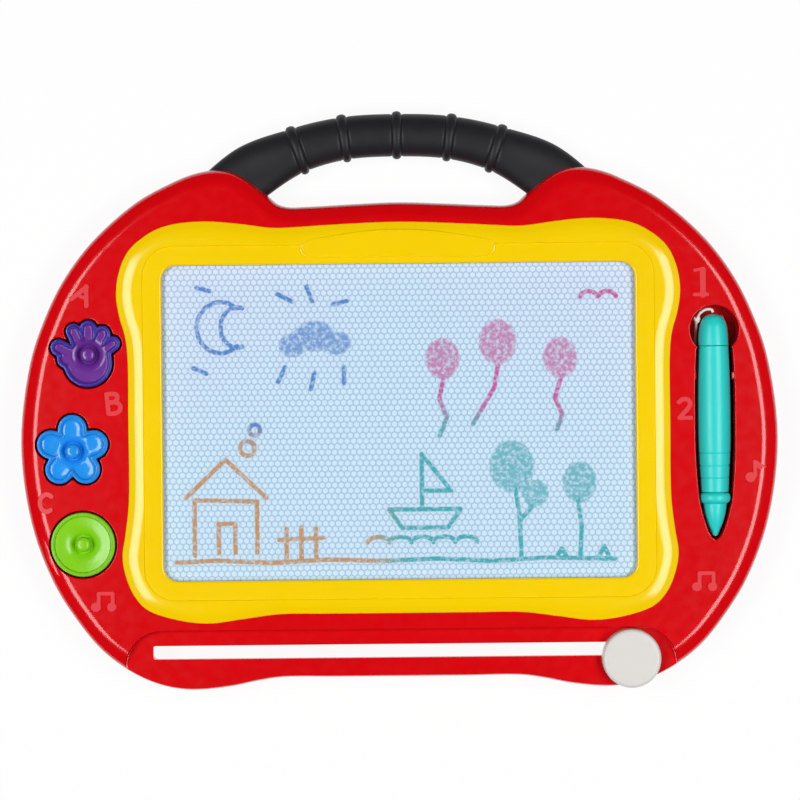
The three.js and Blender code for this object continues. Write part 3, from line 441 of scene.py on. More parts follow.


# Each with its two tones, roughness, grain and relief in millimetres, and, if it has one, its rim's tone:
# painted light and shade on its rim tops
red_abs = moulded_plastic("red_moulded_abs", 0xDC020D, 0xD40009, 0.16, 3.2, 0.003)
# The signs' red is lighter than the case's: a painted sheen for the light their textured tops scatter, on top
# of their rougher finish
red_sign = moulded_plastic("red_abs_textured_painted_sheen", 0xE61E2A, 0xDE1824, 0.45, 0.5, 0.02)
yellow_abs = moulded_plastic("yellow_moulded_abs", 0xFCD600, 0xF8CE00, 0.17, 3.2, 0.003)
black_pp = moulded_plastic("black_satin_polypropylene", 0x232326, 0x1D1D20, 0.42, 0.8, 0.03, ior=1.34)
grey_abs = moulded_plastic("pale_grey_moulded_abs", 0xDEDBD7, 0xD9D6D1, 0.4, 0.9, 0.01)
# The stamps' rim tones are painted light: a bluish painted reflection on the purple rims, and painted shade
# on the darker blue and green rims
purple_ps = moulded_plastic("purple_moulded_polystyrene", 0x6E3298, 0x62298C, 0.2, 2.5, 0.006, 0x3E319E)
blue_ps = moulded_plastic("blue_moulded_polystyrene", 0x269AF2, 0x1C8CE8, 0.16, 2.5, 0.006, 0x1A86E0)
green_ps = moulded_plastic("green_moulded_polystyrene", 0x88D416, 0x80CC10, 0.26, 2.5, 0.006, 0x78C40C)
teal_pp = moulded_plastic("turquoise_moulded_polypropylene", 0x26DAD4, 0x1AD0CA, 0.38, 2.5, 0.004)


def clouded(name, dark, light, cloud, detail, values, relief=None, gloss=None):
    """Finish whose tone wanders between two colours in clouds of that many millimetres. The clouds
    also raise its skin by relief millimetres, or vary its roughness between the two of gloss."""
    material, tree = new_material(name)
    place = {"Vector": node(tree, "TexCoord").outputs["Object"]}
    clouds = node(tree, "TexNoise", {"Scale": 1 / (cloud * MM), "Detail": detail}, place).outputs[0]
    tone = node(tree, "Mix", {6: linear(dark), 7: linear(light)}, {0: clouds}, data_type="RGBA")
    links = {"Base Color": tone.outputs[2]}
    if relief:
        bump = node(tree, "Bump", {"Strength": 1.0, "Distance": relief * MM}, {"Height": clouds})
        links["Normal"] = bump.outputs[0]
    if gloss:
        rough = node(tree, "MapRange", {"To Min": gloss[0], "To Max": gloss[1]}, {"Value": clouds})
        links["Roughness"] = rough.outputs[0]
    shader = node(tree, "BsdfPrincipled", values, links)
    node(tree, "OutputMaterial", links={"Surface": shader.outputs[0]})
    return material


def cell_finish(name, pale, cover):
    """White magnetic fluid behind the sheet's cells, or the walls between them. The powder attribute says how
    much iron powder a stylus has drawn up there, the tint attribute the film's printed colour over it, and
    the other colour attribute the pale blue of the fluid, which turns paler and more lavender towards the
    upper corners and carries a painted highlight on each cell's dome. The powder lies in clumps of about 2
    mm."""
    material, tree = new_material(name)
    place = node(tree, "TexCoord").outputs["Object"]
    powder = node(tree, "Attribute", attribute_name="powder").outputs["Fac"]
    tint = node(tree, "Attribute", attribute_name="tint").outputs["Color"]
    wash = node(tree, "Attribute", attribute_name="wash").outputs["Color"]
    clumps = node(tree, "TexNoise", {"Scale": 1 / (2.2 * MM), "Detail": 3.0, "Roughness": 0.6},
                  {"Vector": place})
    grains = node(tree, "MapRange",
                  {"From Min": 0.4, "From Max": 0.56, "To Min": 0.5 * cover, "To Max": 1.35 * cover},
                  {"Value": clumps.outputs[0]})
    amount = node(tree, "Math", links={0: powder, 1: grains.outputs[0]},
                  operation="MULTIPLY", use_clamp=True)
    ground = node(tree, "Mix", {0: 1.0, 7: linear(pale)}, {6: wash},
                  data_type="RGBA", blend_type="MULTIPLY")
    colour = node(tree, "Mix", links={0: amount.outputs[0], 6: ground.outputs[2], 7: tint},
                  data_type="RGBA")
    shader = node(tree, "BsdfPrincipled", {"Roughness": 0.45, "IOR": 1.45},
                  {"Base Color": colour.outputs[2]})
    node(tree, "OutputMaterial", links={"Surface": shader.outputs[0]})
    return material


# Ferrite powder in rubber, calendered flat: matte dark grey with a fine sparkle of grit
ferrite = clouded("ferrite_rubber_sheet", 0x2E2C2A, 0x45423F, 0.6, 4.0, {"Roughness": 0.8, "IOR": 1.5}, 0.03)
# Zinc-plated steel: pale grey metal with a slightly cloudy, rolled lustre
steel = clouded("zinc_plated_steel", 0xA9ADB3, 0xC9CDD2, 1.2, 4.0, {"Metallic": 1.0}, gloss=(0.28, 0.48))
# White nylon twine: fuzzy soft white, a little grey and pink between its strands
nylon = clouded("twisted_nylon_twine", 0xDCD2D0, 0xF6F2EE, 0.35, 3.0,
                {"Roughness": 0.75, "Sheen Weight": 0.4, "Sheen Roughness": 0.5}, 0.08)
# Clear PVC front sheet: seen only by its thin gloss over the cells
film = clouded("clear_pvc_film", 0xE8F0FA, 0xE8F0FA, 9, 5.0, {"Alpha": 0.03, "IOR": 1.5}, gloss=(0.12, 0.3))
cell_fluid = cell_finish("white_magnetic_fluid", 0xFFFFFF, 1)
cell_wall = cell_finish("honeycomb_pvc_walls", 0xCCD6E2, 0.8)
sheet_pvc = moulded_plastic("white_pvc_sheet", 0xEFECE6, 0xE6E3DC, 0.4, 1.2, 0.006)


# camera, floor and light

def set_view():
    data = bpy.data.cameras.new("overhead")
    data.lens = LENS
    data.sensor_width = SENSOR
    camera = bpy.data.objects.new("overhead", data)
    bpy.context.scene.collection.objects.link(camera)
    camera.location = CAMERA_PLACE
    camera.rotation_euler = (0, 0, ROLL)
    bpy.context.scene.camera = camera
    bpy.context.scene.view_settings.view_transform = "Standard"


def white_where_seen(tree, shader, share):
    """Adds plain white where the camera, a gloss or a clear sheet looks at a backdrop."""
    path = node(tree, "LightPath")
    seen = path.outputs["Is Camera Ray"]
    for ray in ("Is Glossy Ray", "Is Transmission Ray"):
        seen = node(tree, "Math", links={0: seen, 1: path.outputs[ray]}, operation="MAXIMUM").outputs[0]
    part = node(tree, "Math", {1: share}, {0: seen}, operation="MULTIPLY")
    white = node(tree, "Emission", {"Color": (1, 1, 1, 1), "Strength": 1.0})
    return node(tree, "MixShader", links={0: part.outputs[0], 1: shader, 2: white.outputs[0]})


def lay_floor():
    """Paper floor, a hair below the case. It is clear from beneath, where the case's back is seen."""
    bpy.ops.object.select_all(action="DESELECT")
    bpy.ops.mesh.primitive_grid_add(x_subdivisions=8, y_subdivisions=8, size=24,
                                    location=mm(0, 0, -FLOOR_GAP))
    floor = bpy.context.object
    floor.name = "studio_floor"
    material, tree = new_material("white_paper_floor")
    paper = node(tree, "BsdfDiffuse", {"Color": (0.93, 0.93, 0.93, 1)})
    top = white_where_seen(tree, paper.outputs[0], 0.9)
    below = node(tree, "NewGeometry").outputs["Backfacing"]
    shadow = node(tree, "LightPath").outputs["Is Shadow Ray"]
    open_way = node(tree, "Math", links={0: below, 1: shadow}, operation="MAXIMUM")
    clear = node(tree, "BsdfTransparent")
    surface = node(tree, "MixShader",
                   links={0: open_way.outputs[0], 1: top.outputs[0], 2: clear.outputs[0]})
    node(tree, "OutputMaterial", links={"Surface": surface.outputs[0]})
    floor.data.materials.append(material)


def hang_lamp(name, place, watts):
    """Softbox with its long side along y, turned to the board."""
    data = bpy.data.lights.new(name, "AREA")
    data.shape = "RECTANGLE"
    data.size, data.size_y = SOFTBOX
    data.energy = watts
    lamp = bpy.data.objects.new(name, data)
    bpy.context.scene.collection.objects.link(lamp)
    lamp.location = place
    lamp.rotation_euler = (Vector(place) * -1).to_track_quat("-Z", "X").to_euler()


def light_studio():
    world = bpy.data.worlds.new("studio")
    bpy.context.scene.world = world
    world.use_nodes = True
    tree = world.node_tree
    tree.nodes.clear()
    path = node(tree, "LightPath")
    dim = node(tree, "Background", {"Color": (1, 1, 1, 1), "Strength": 0.03})
    bright = node(tree, "Background", {"Color": (1, 1, 1, 1), "Strength": 1.0})
    mixed = node(tree, "MixShader",
                 links={0: path.outputs["Is Camera Ray"], 1: dim.outputs[0], 2: bright.outputs[0]})
    node(tree, "OutputWorld", links={"Surface": mixed.outputs[0]})
    for name, side in (("left", -1), ("right", 1)):
        hang_lamp(f"softbox_{name}", (side * SOFTBOX_X, SOFTBOX_Y, SOFTBOX_Z), UPPER_WATTS)
        hang_lamp(f"low_softbox_{name}", (side * SOFTBOX_X, SOFTBOX_Y, -SOFTBOX_Z), LOWER_WATTS)


set_view()


# pen's string

string_places = [(PEN_X + x, PEN_TOP_Y + y, PEN_FLOOR + z) for x, y, z in STRING_ROUTE]
string_line = smooth_curve(string_places, False, 12)


def tube(name, line, section, closed=False):
    """Sweep of a section along a line; the section gives its points from the share of the way."""
    count = len(line)
    loops = []
    across = None
    for index, point in enumerate(line):
        before, after = line[max(index - 1, 0)], line[min(index + 1, count - 1)]
        if closed:
            before, after = line[index - 1], line[(index + 1) % count]
        along = (after - before).normalized()
        if across is None:
            across = along.orthogonal()
        across = (across - across.dot(along) * along).normalized()
        side = along.cross(across)
        loops.append([point + across * u + side * v for u, v in section(index / (count - 1))])
    return sweep(name, loops, closed)


def strands(radius, turns, sides=12, lobes=3):
    """Section of twisted strands: a lobed circle that turns along the way."""
    def section(share):
        points = []
        for side in range(sides):
            angle = FULL_TURN * side / sides
            lobed = radius * (0.9 + 0.1 * math.cos(lobes * angle - FULL_TURN * turns * share))
            points.append((lobed * math.cos(angle), lobed * math.sin(angle)))
        return points
    return section


def make_string():
    """String lying in the well round the pen, and its knot."""
    string = tube("pen_cord", string_line, strands(STRING_RADIUS, STRING_TWISTS))
    settle(string, "pen_cord", None, nylon, ["pen_string"], angle=60, weighted=False)
    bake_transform(string)
    centre = Vector(string_places[KNOT_AT])
    curl = []
    for step in range(KNOT_STEPS):
        t = FULL_TURN * step / KNOT_STEPS
        curl.append(centre + KNOT_SIZE * Vector((
            math.sin(t) + 2 * math.sin(2 * t), math.cos(t) - 2 * math.cos(2 * t), -1.4 * math.sin(3 * t),
        )))
    knot = tube("cord_knot", curl, strands(KNOT_STRAND, 0, 10), closed=True)
    settle(knot, "cord_knot", "pen", nylon, ["string_knot"], angle=60, weighted=False)


make_string()


# outlines

def moved(outline):
    return [Vector((point.x, point.y + WINDOW_Y)) for point in outline]


case_outline = moved(mirrored_outline(
    [(x * CASE_HALF, y * (HUMP_Y if y > 0 else FOOT_Y)) for x, y in CASE_SHARES]
))
frame_outline = moved(mirrored_outline([(x * FRAME_HALF[0], y * FRAME_HALF[1]) for x, y in FRAME_SHARES]))


def even_outline(points, number, passes):
    """Closed outline with that number of evenly spaced points, softened by averaging neighbours."""
    count = len(points)
    lengths = [(points[(i + 1) % count] - points[i]).length for i in range(count)]
    total = sum(lengths)
    even, index, run = [], 0, 0.0
    for step in range(number):
        target = total * step / number
        while run + lengths[index] < target:
            run += lengths[index]
            index += 1
        share = (target - run) / lengths[index] if lengths[index] else 0
        even.append(points[index].lerp(points[(index + 1) % count], share))
    for _ in range(passes):
        even = [(even[i - 1] + 2 * even[i] + even[(i + 1) % number]) / 4 for i in range(number)]
    return even


def limb_reach(angle, reach, radius, heading):
    """How far a round-ended limb at that angle reaches along the heading."""
    lean = abs(math.remainder(heading - angle, FULL_TURN))
    if lean >= FULL_TURN / 4:
        return 0
    if lean and radius / math.tan(lean) < reach:
        return radius / math.sin(lean)
    return reach * math.cos(lean) + math.sqrt(max(radius ** 2 - (reach * math.sin(lean)) ** 2, 0))


def limb_outline(centre, limbs, core, rays=2400, points=256, passes=4):
    """Outline of limbs round a core, as far as they reach along each ray."""
    edge = []
    for step in range(rays):
        heading = FULL_TURN * step / rays
        reach = max(core, *(limb_reach(*limb, heading) for limb in limbs))
        edge.append(Vector((centre[0] + reach * math.cos(heading), centre[1] + reach * math.sin(heading))))
    return even_outline(edge, points, passes)


def hand_outline(grow):
    limbs = [(share * math.pi, reach, radius + grow) for share, reach, radius in FINGERS]
    return limb_outline((HAND[0], HAND[1] - PALM_DROP), limbs, PALM_RADIUS + grow)


def flower_outline(grow):
    limbs = [(FULL_TURN * (1 / 4 + lobe / LOBES), LOBE_REACH, LOBE_RADIUS + grow) for lobe in range(LOBES)]
    return limb_outline(FLOWER, limbs, LOBE_REACH - LOBE_RADIUS / 2)


def disc_outline(grow):
    return circle(DISC[0], DISC[1], DISC_RADIUS + grow, 96)


STAMP_OUTLINES = (hand_outline, flower_outline, disc_outline)


def pen_well_outline(grow):
    """Round pocket at the pen's end, a neck, and the channel that narrows towards the tip."""
    radius = POCKET_RADIUS + grow
    turn = math.acos((POCKET_DROP - POCKET_NECK_Y) / radius)
    pocket = []
    for step in range(25):
        angle = math.pi - turn - (math.pi - turn) * step / 24
        pocket.append((radius * math.sin(angle), -POCKET_DROP + radius * math.cos(angle)))
    channel = [(x + grow, y) for x, y in PEN_CHANNEL]
    side = smooth_curve([(0, PEN_CHANNEL[-1][1] - 1.6 - grow), *reversed(channel)], False, 4)
    right = [(point.x, point.y) for point in side] + pocket
    left = [(-x, y) for x, y in reversed(right[1:-1])]
    return [Vector((PEN_X + x, PEN_TOP_Y + y)) for x, y in [*right, *left]]


# case

case_screws = [(side * x, y) for x, y in SCREWS for side in (-1, 1)]


def track_box(growth, steps=8):
    """Lowered track, which runs on over the case's lower edge."""
    middle = (STEP_Y + TRACK_END) / 2 + growth / 2
    half = (STEP_Y - TRACK_END) / 2 + growth / 2
    return rounded_box(0, middle, TRACK_HALF + growth, half, TRACK_CORNER + growth, steps)


def slot_wall(bottom, top):
    half_width, half_height = (half + WALL for half in SLOT_HALF)
    return levelled("slot", rounded_box(0, SLOT_Y, half_width, half_height, WALL), [(0, bottom), (0, top)])


def slot_cut(levels):
    return levelled("slot", grown_box(SLOT_Y, SLOT_HALF, SLOT_CORNER), levels)


def lipped(outline, floor, top, lip=0.5, foot=0.8):
    """Cutter for a well: a small fillet at the floor, straight walls, and a lip rounded outwards."""
    levels = [(foot, floor), (foot * 0.3, floor + foot * 0.25), (0, floor + foot)]
    for step in range(5):
        angle = FULL_TURN / 4 * step / 4
        levels.append((-lip * (1 - math.cos(angle)), top - lip + lip * math.sin(angle)))
    levels.append((-lip - 0.02, top + 1.5))
    return grown("well", outline, levels) if callable(outline) else levelled("well", outline, levels)


def grip_line(steps=24):
    """Handle's spine with its half widths and depths, and the way along it to each point."""
    both = [(-x, y, wide, deep) for x, y, wide, deep in reversed(GRIP_KNOTS[1:])] + GRIP_KNOTS
    spine = smooth_curve([(x, y) for x, y, _, _ in both], False, steps)
    sizes = smooth_curve([(wide, deep) for _, _, wide, deep in both], False, steps)
    lengths = [0.0]
    for before, after in zip(spine, spine[1:]):
        lengths.append(lengths[-1] + (after - before).length)
    return spine, sizes, lengths


grip_spine, grip_sizes, grip_lengths = grip_line()
GRIP_HALF = grip_lengths[len(grip_lengths) // 2]


def grip_sections(growth, places, sides=48):
    """Loops round the handle from its way along the spine and how far it stands out there."""
    loops = []
    for place, proud, proud_deep in places:
        target = min(max(place + GRIP_HALF, 0), grip_lengths[-1])
        index = max(i for i, run in enumerate(grip_lengths) if run <= target)
        index = min(index, len(grip_spine) - 2)
        share = (target - grip_lengths[index]) / (grip_lengths[index + 1] - grip_lengths[index])
        size = grip_sizes[index].lerp(grip_sizes[index + 1], share)
        before, after = grip_spine[max(index - 3, 0)], grip_spine[min(index + 4, len(grip_spine) - 1)]
        along = (after - before).normalized()
        centre = grip_spine[index].lerp(grip_spine[index + 1], share) + along * (place + GRIP_HALF - target)
        across = Vector((-along.y, along.x))
        loop = []
        for side in range(sides):
            angle = FULL_TURN * side / sides
            out = across * (size.x + growth + proud) * math.cos(angle)
            height = GRIP_Z + (size.y + growth + proud_deep) * math.sin(angle)
            loop.append((centre.x + out.x, centre.y + out.y, height))
        loops.append(loop)
    return loops


def plain_grip(growth, past):
    """Grip without rings, grown all round and run past its ends."""
    even = [-GRIP_HALF + 2 * GRIP_HALF * i / 60 for i in range(61)]
    places = [(place, 0, 0) for place in (-GRIP_HALF - past, *even, GRIP_HALF + past)]
    return sweep("grip", grip_sections(growth, places))


def make_case_front():
    """Front shell: ridge, hollow, walls of the wells behind the face, screw bosses and openings."""
    shell = levelled("case_front", case_outline, CASE_RIDGE)
    combine(shell, [levelled("hollow", case_outline, [(WALL, 8.5), (3.2, 18.1), (10.8, 21.8)])])
    cups = [levelled("cup", outline(WELL_WALL), [(0, 12), (0, UNDER_FACE)]) for outline in STAMP_OUTLINES]
    cups.append(levelled("cup", pen_well_outline(2), [(0, PEN_FLOOR - 2), (0, UNDER_FACE)]))
    pocket = grown_box(WINDOW_Y, PANEL_HALF, PANEL_CORNER, WALL)
    ledge = levelled("ledge", pocket, [(0, PANEL_FLOOR - 2.2), (0, UNDER_FACE)])
    track_floor = levelled("track", track_box(WALL), [(0, TRACK_Z - 2.2), (0, UNDER_FACE)])
    combine(track_floor, [levelled("reach", case_outline, [(1.5, 6), (1.5, 18.9), (8.5, 22.9)])], "INTERSECT")
    combine(shell, [*cups, ledge, track_floor, slot_wall(PARTING_Z + SEAM, 18)], "UNION")
    combine(shell, [plain_grip(0.3, 1)])
    combine(shell, [rod(x, y, FRONT_BOSS, PARTING_Z + SEAM, 22.5, 24) for x, y in case_screws], "UNION")
    panel_pocket = rounded_box(0, WINDOW_Y, *PANEL_HALF, PANEL_CORNER)
    opening = rounded_box(0, WINDOW_Y, *OPENING_HALF, OPENING_CORNER)
    combine(shell, [
        levelled("pocket", panel_pocket, [(0, PANEL_FLOOR), (0, 30)]),
        levelled("opening", opening, [(0, 10), (0, 20)]),
        *[lipped(lambda grow, outline=outline: outline(WELL_GAP + grow), WELL_FLOOR, FACE_Z)
          for outline in STAMP_OUTLINES],
        lipped(pen_well_outline(0), PEN_FLOOR, FACE_Z),
        lipped(track_box(0, 12), TRACK_Z, FACE_Z, 0.15, 1.6),
        slot_cut([(-1.4, 0), (-1.4, 17.2), (0, 18.4), (0, 21)]),
        block(-130.2, 130.2, SLOT_Y, SLOT_Y + 7.1, 0, 13.8),
        rod(PEN_X + STRING_ROUTE[0][0], PEN_TOP_Y + STRING_ROUTE[0][1], STRING_HOLE, 0, FACE_Z, 24),
        *[rod(x, y, PILOT, 0, 17.3, 16) for x, y in case_screws],
    ])
    nubs = []
    for side in (-1, 1):
        outline = rounded_box(PEN_X + side * NUB_X, PEN_TOP_Y - NUB_DROP, *NUB_HALF, NUB_CORNER, 4)
        nubs.append(levelled("nub", outline, NUB_EDGE))
    combine(shell, nubs, "UNION")
    return settle(shell, "case_front", "case", red_abs, ["front_shell"])


def make_case_back():
    """Back shell: rounded edge, hollow, screw towers, ribs, rail and the rear track with its slot."""
    shell = levelled("case_back", case_outline, BACK_EDGE)
    hollow = levelled("hollow", case_outline, [(3.4, 2.2), (WALL, 5.2), (WALL, 10.5)])
    combine(shell, [hollow, plain_grip(0.3, 1)])
    towers = [rod(x, y, BACK_BOSS, BACK_INSIDE, PARTING_Z) for x, y in case_screws]
    tower_block = merge_into(towers[0], towers[1:])
    combine(tower_block, [levelled("inside", case_outline, [(1, 0.5), (1, 10)])], "INTERSECT")
    half_width, half_height = PANEL_HALF
    ribs = [block(-half_width, half_width, WINDOW_Y + y - 0.8, WINDOW_Y + y + 0.8, BACK_INSIDE, 5)
            for y in (-half_height / 2, 0, half_height / 2)]
    ribs += [block(x - 0.8, x + 0.8, WINDOW_Y - half_height, WINDOW_Y + half_height, BACK_INSIDE, 4.4)
             for x in (-half_width / 2, 0, half_width / 2)]
    rail = block(-OPENING_HALF[0], OPENING_HALF[0], WINDOW_Y + 81.7, WINDOW_Y + 84.7, BACK_INSIDE, PARTING_Z)
    track = levelled("track", grown_box(SLOT_Y, REAR_TRACK_HALF, WALL, WALL), [(0, BACK_INSIDE), (0, 5.4)])
    combine(shell, [tower_block, *ribs, rail, track, slot_wall(BACK_INSIDE, PARTING_Z)], "UNION")
    edge = [(-0.6, -1), (-0.6, 0), (0, 0.5), (0, REAR_TRACK_DEPTH)]
    cuts = [levelled("track", grown_box(SLOT_Y, REAR_TRACK_HALF, WALL), edge)]
    cuts.append(slot_cut([(-1.4, -1), (-1.4, 11)]))
    for x, y in case_screws:
        sink = [(-0.5, -1), (-0.5, 0), (0, 0.45), (0, 4.1)]
        cuts.append(levelled("sink", circle(x, y, SINK_RADIUS), sink))
        cuts.append(rod(x, y, SHANK_HOLE, 0, 11, 20))
    combine(shell, cuts)
    return settle(shell, "case_back", "case", red_abs, ["back_shell"])


def make_window_frame():
    """Yellow frame: rounded band, sunk land round the window, a bare plaque and the flared window."""
    body = levelled("window_frame", frame_outline, FRAME_EDGE)
    skirt = levelled("skirt", rounded_box(0, WINDOW_Y, 137, 93.7, 13.7), [(0, 23.25), (0, 25)])
    combine(body, [skirt], "UNION")
    land = levelled("land", rounded_box(0, WINDOW_Y, *LAND_HALF, LAND_CORNER, 16), LAND_EDGE)
    flare = levelled("flare", rounded_box(0, WINDOW_Y, *WINDOW_HALF, WINDOW_CORNER, 12), FLARE_EDGE)
    combine(body, [land])
    combine(body, [levelled("plaque", mirrored_outline(PLAQUE), PLAQUE_EDGE)], "UNION")
    combine(body, [flare])
    return settle(body, "window_frame", "case", yellow_abs, ["bezel"])


case_front = make_case_front()
make_case_back()
make_window_frame()


# panel of cells

CELL_PITCH = 3.46
CELL_ROW = CELL_PITCH * math.sqrt(3) / 2
CELL_COLUMNS, CELL_ROW_PAIRS = 78, 31
CELL_TOP = 22.55
WALL_HALF, CELL_SLOPE, CELL_DEPTH, CELL_DOME = 0.13, 0.12, 0.18, 0.12
SHEET_THICK = 2.5
STROKE_EDGE, STROKE_SOFT = 1.5, 0.5
PATCH_SOFT, PATCH_COVER = 0.12, 0.6
# Painted highlight: how much lighter the top of each cell's dome is made
PAINTED_DOME_HIGHLIGHT = 1.12
INK_ZONES = [
    (-70, 45, 0x347CC8), (60, 50, 0xC04499), (-75, -60, 0xBC8C54), (55, -45, 0x02A6B2),
]
# Pale blue of the fluid, and the paler, more lavender tone it takes towards the upper corners
WASH = (0xC7E1F4, 0xD1DFF5)
TILE = 6


def ink_at(x, y):
    """Colour of the film's print: four soft zones, blue, pink, tan and turquoise."""
    weights = [(1 / ((x - cx) ** 2 + (y - cy) ** 2 + 200) ** 5, colour) for cx, cy, colour in INK_ZONES]
    total = sum(weight for weight, _ in weights)
    return [sum(weight * linear(colour)[i] for weight, colour in weights) / total for i in range(3)]


def arc(x, y, radius_x, radius_y, start, end, steps=24):
    """Arc in window coordinates; start and end are shares of a turn."""
    angles = [FULL_TURN * (start + (end - start) * i / steps) for i in range(steps + 1)]
    return [(x + radius_x * math.cos(a), y + radius_y * math.sin(a)) for a in angles]


# Drawing on the screen, in millimetres from the window's middle: strokes of the pen, and round
# patches as a stamp leaves them
MOON = [arc(-97, 52, 13, 14, 0.13, 0.87), arc(-88, 52, 9, 11, 0.2, 0.8)]
RAIN = [
    [(-66, 70), (-58, 66)], [(-50, 74), (-47, 66)], [(-36, 64), (-28, 66)], [(-62, 30), (-66, 22)],
    [(-46, 27), (-48, 18)], [(-30, 30), (-30, 21)], [(-112, 30), (-105, 27)], [(-110, 74), (-103, 72)],
]
HOUSE = [
    [(-112, -72), (-112, -42), (-78, -43), (-78, -71)], [(-117, -41), (-95, -20), (-73, -41)],
    [(-99, -71), (-99, -55), (-90, -55), (-90, -71)], arc(-83, -14, 4, 4, 0, 1.2),
    arc(-79, -4, 3, 3, 0, 1.1),
]
GROUND = [[
    (-122, -76), (-100, -75), (-70, -76.5), (-40, -75), (-10, -76), (20, -75), (50, -76.5), (80, -75),
    (117, -76),
]]
FENCE = [
    [(-62, -75), (-62, -58)], [(-54, -75), (-54, -57)], [(-46, -75), (-46, -58)], [(-66, -64), (-42, -63)],
]
BOAT = [[(-6, -48), (1, -58), (26, -58), (33, -48), (-6, -48)], [(12, -48), (12, -18), (28, -38), (12, -38)]]
WAVES = [arc(x, -66, 6, 3, 0, 0.5) for x in (-12, 0, 12, 24, 36)]
TREES = [
    [(66, -75), (65, -50), (63, -38)], [(65, -55), (72, -47)], [(98, -75), (99, -58), (97, -44)],
    [(85, -75), (88, -70), (91, -75)], [(108, -75), (111, -69), (114, -75)],
]
BALLOON_STRINGS = [
    [(24, 22), (22, 12), (26, 2), (22, -8)], [(54, 30), (52, 18), (46, 8), (40, -2)],
    [(88, 22), (85, 12), (89, 3), (86, -5)],
]
BIRDS = [arc(x, 66, 5, 4, 0.05, 0.45) for x in (104, 114)]
STROKES = [*MOON, *RAIN, *HOUSE, *GROUND, *FENCE, *BOAT, *WAVES, *TREES, *BALLOON_STRINGS, *BIRDS]
PATCHES = [
    (-46, 47, 12, 9), (-58, 42, 8, 7), (-34, 43, 9, 7), (24, 34, 10, 12), (54, 43, 11, 13), (88, 34, 10, 12),
    (61, -25, 13, 15), (98, -34, 10, 12), (74, -40, 8, 8),
]


def segment_distance(x, y, start, end):
    dx, dy = end[0] - start[0], end[1] - start[1]
    share = ((x - start[0]) * dx + (y - start[1]) * dy) / max(dx * dx + dy * dy, 1e-9)
    share = min(max(share, 0), 1)
    return math.hypot(x - start[0] - share * dx, y - start[1] - share * dy)


def tiles_by_stroke():
    """Segments of the strokes by the tiles of the window that they pass near."""
    def reach(one, two):
        return range(int(min(one, two) // TILE) - 1, int(max(one, two) // TILE) + 2)

    tiles = {}
    for stroke in STROKES:
        for a, b in zip(stroke, stroke[1:]):
            for column in reach(a[0], b[0]):
                for row in reach(a[1], b[1]):
                    tiles.setdefault((column, row), []).append((a, b))
    return tiles


STROKE_TILES = tiles_by_stroke()


def stroke_distance(x, y):
    near = STROKE_TILES.get((int(x // TILE), int(y // TILE)), [])
    return min((segment_distance(x, y, a, b) for a, b in near), default=TILE)


def patch_depth(x, y):
    """Above zero inside a patch."""
    return max(1 - math.hypot((x - px) / rx, (y - py) / ry) for px, py, rx, ry in PATCHES)


def share_of(value):
    return min(max(value, 0), 1)


def model_cells():
    """One cell inset twice, doubled to the next row and repeated, then given its edge and back."""
    bpy.ops.object.select_all(action="DESELECT")
    bpy.ops.mesh.primitive_circle_add(vertices=6, radius=CELL_PITCH / math.sqrt(3) * MM, fill_type="NGON")
    sheet = bpy.context.object
    sheet.data.materials.append(cell_wall)
    sheet.data.materials.append(cell_fluid)
    edit_all()
    bpy.ops.mesh.inset(thickness=WALL_HALF * MM, depth=0)
    bpy.ops.mesh.inset(thickness=CELL_SLOPE * MM, depth=-CELL_DEPTH * MM)
    sheet.active_material_index = 1
    bpy.ops.object.material_slot_assign()
    bpy.ops.mesh.poke(offset=CELL_DOME * MM)
    bpy.ops.mesh.select_all(action="SELECT")
    bpy.ops.mesh.duplicate_move(TRANSFORM_OT_translate={"value": mm(CELL_PITCH / 2, CELL_ROW, 0)})
    bpy.ops.object.mode_set(mode="OBJECT")
    for count, step in ((CELL_COLUMNS, (CELL_PITCH, 0, 0)), (CELL_ROW_PAIRS, (0, 2 * CELL_ROW, 0))):
        modifier = sheet.modifiers.new("repeat", "ARRAY")
        modifier.count = count
        modifier.use_relative_offset = False
        modifier.use_constant_offset = True
        modifier.constant_offset_displace = mm(*step)
        modifier.use_merge_vertices = True
        modifier.merge_threshold = 0.05 * MM
        bpy.ops.object.modifier_apply(modifier=modifier.name)
    left = -(CELL_COLUMNS - 0.5) / 2 * CELL_PITCH
    low = WINDOW_Y - (CELL_ROW_PAIRS - 0.5) * CELL_ROW
    sheet.data.transform(Matrix.Translation(mm(left, low, CELL_TOP)))
    edit_all()
    bpy.ops.mesh.remove_doubles(threshold=0.05 * MM)
    bpy.ops.mesh.select_all(action="DESELECT")
    mesh = bmesh.from_edit_mesh(sheet.data)
    for face in mesh.faces:
        x, y, _ = face.calc_center_median() / MM
        face.select_set(face.material_index == 1 and stroke_distance(x, y - WINDOW_Y) < 2 * STROKE_EDGE)
    bpy.ops.mesh.subdivide(number_cuts=2)
    bpy.ops.mesh.select_all(action="DESELECT")
    mesh = bmesh.from_edit_mesh(sheet.data)
    for edge in mesh.edges:
        if edge.is_boundary:
            edge.select_set(True)
    bpy.ops.mesh.extrude_edges_move(TRANSFORM_OT_translate={"value": mm(0, 0, -SHEET_THICK)})
    bpy.ops.mesh.edge_face_add()
    bpy.ops.mesh.select_all(action="SELECT")
    bpy.ops.object.mode_set(mode="OBJECT")
    return sheet


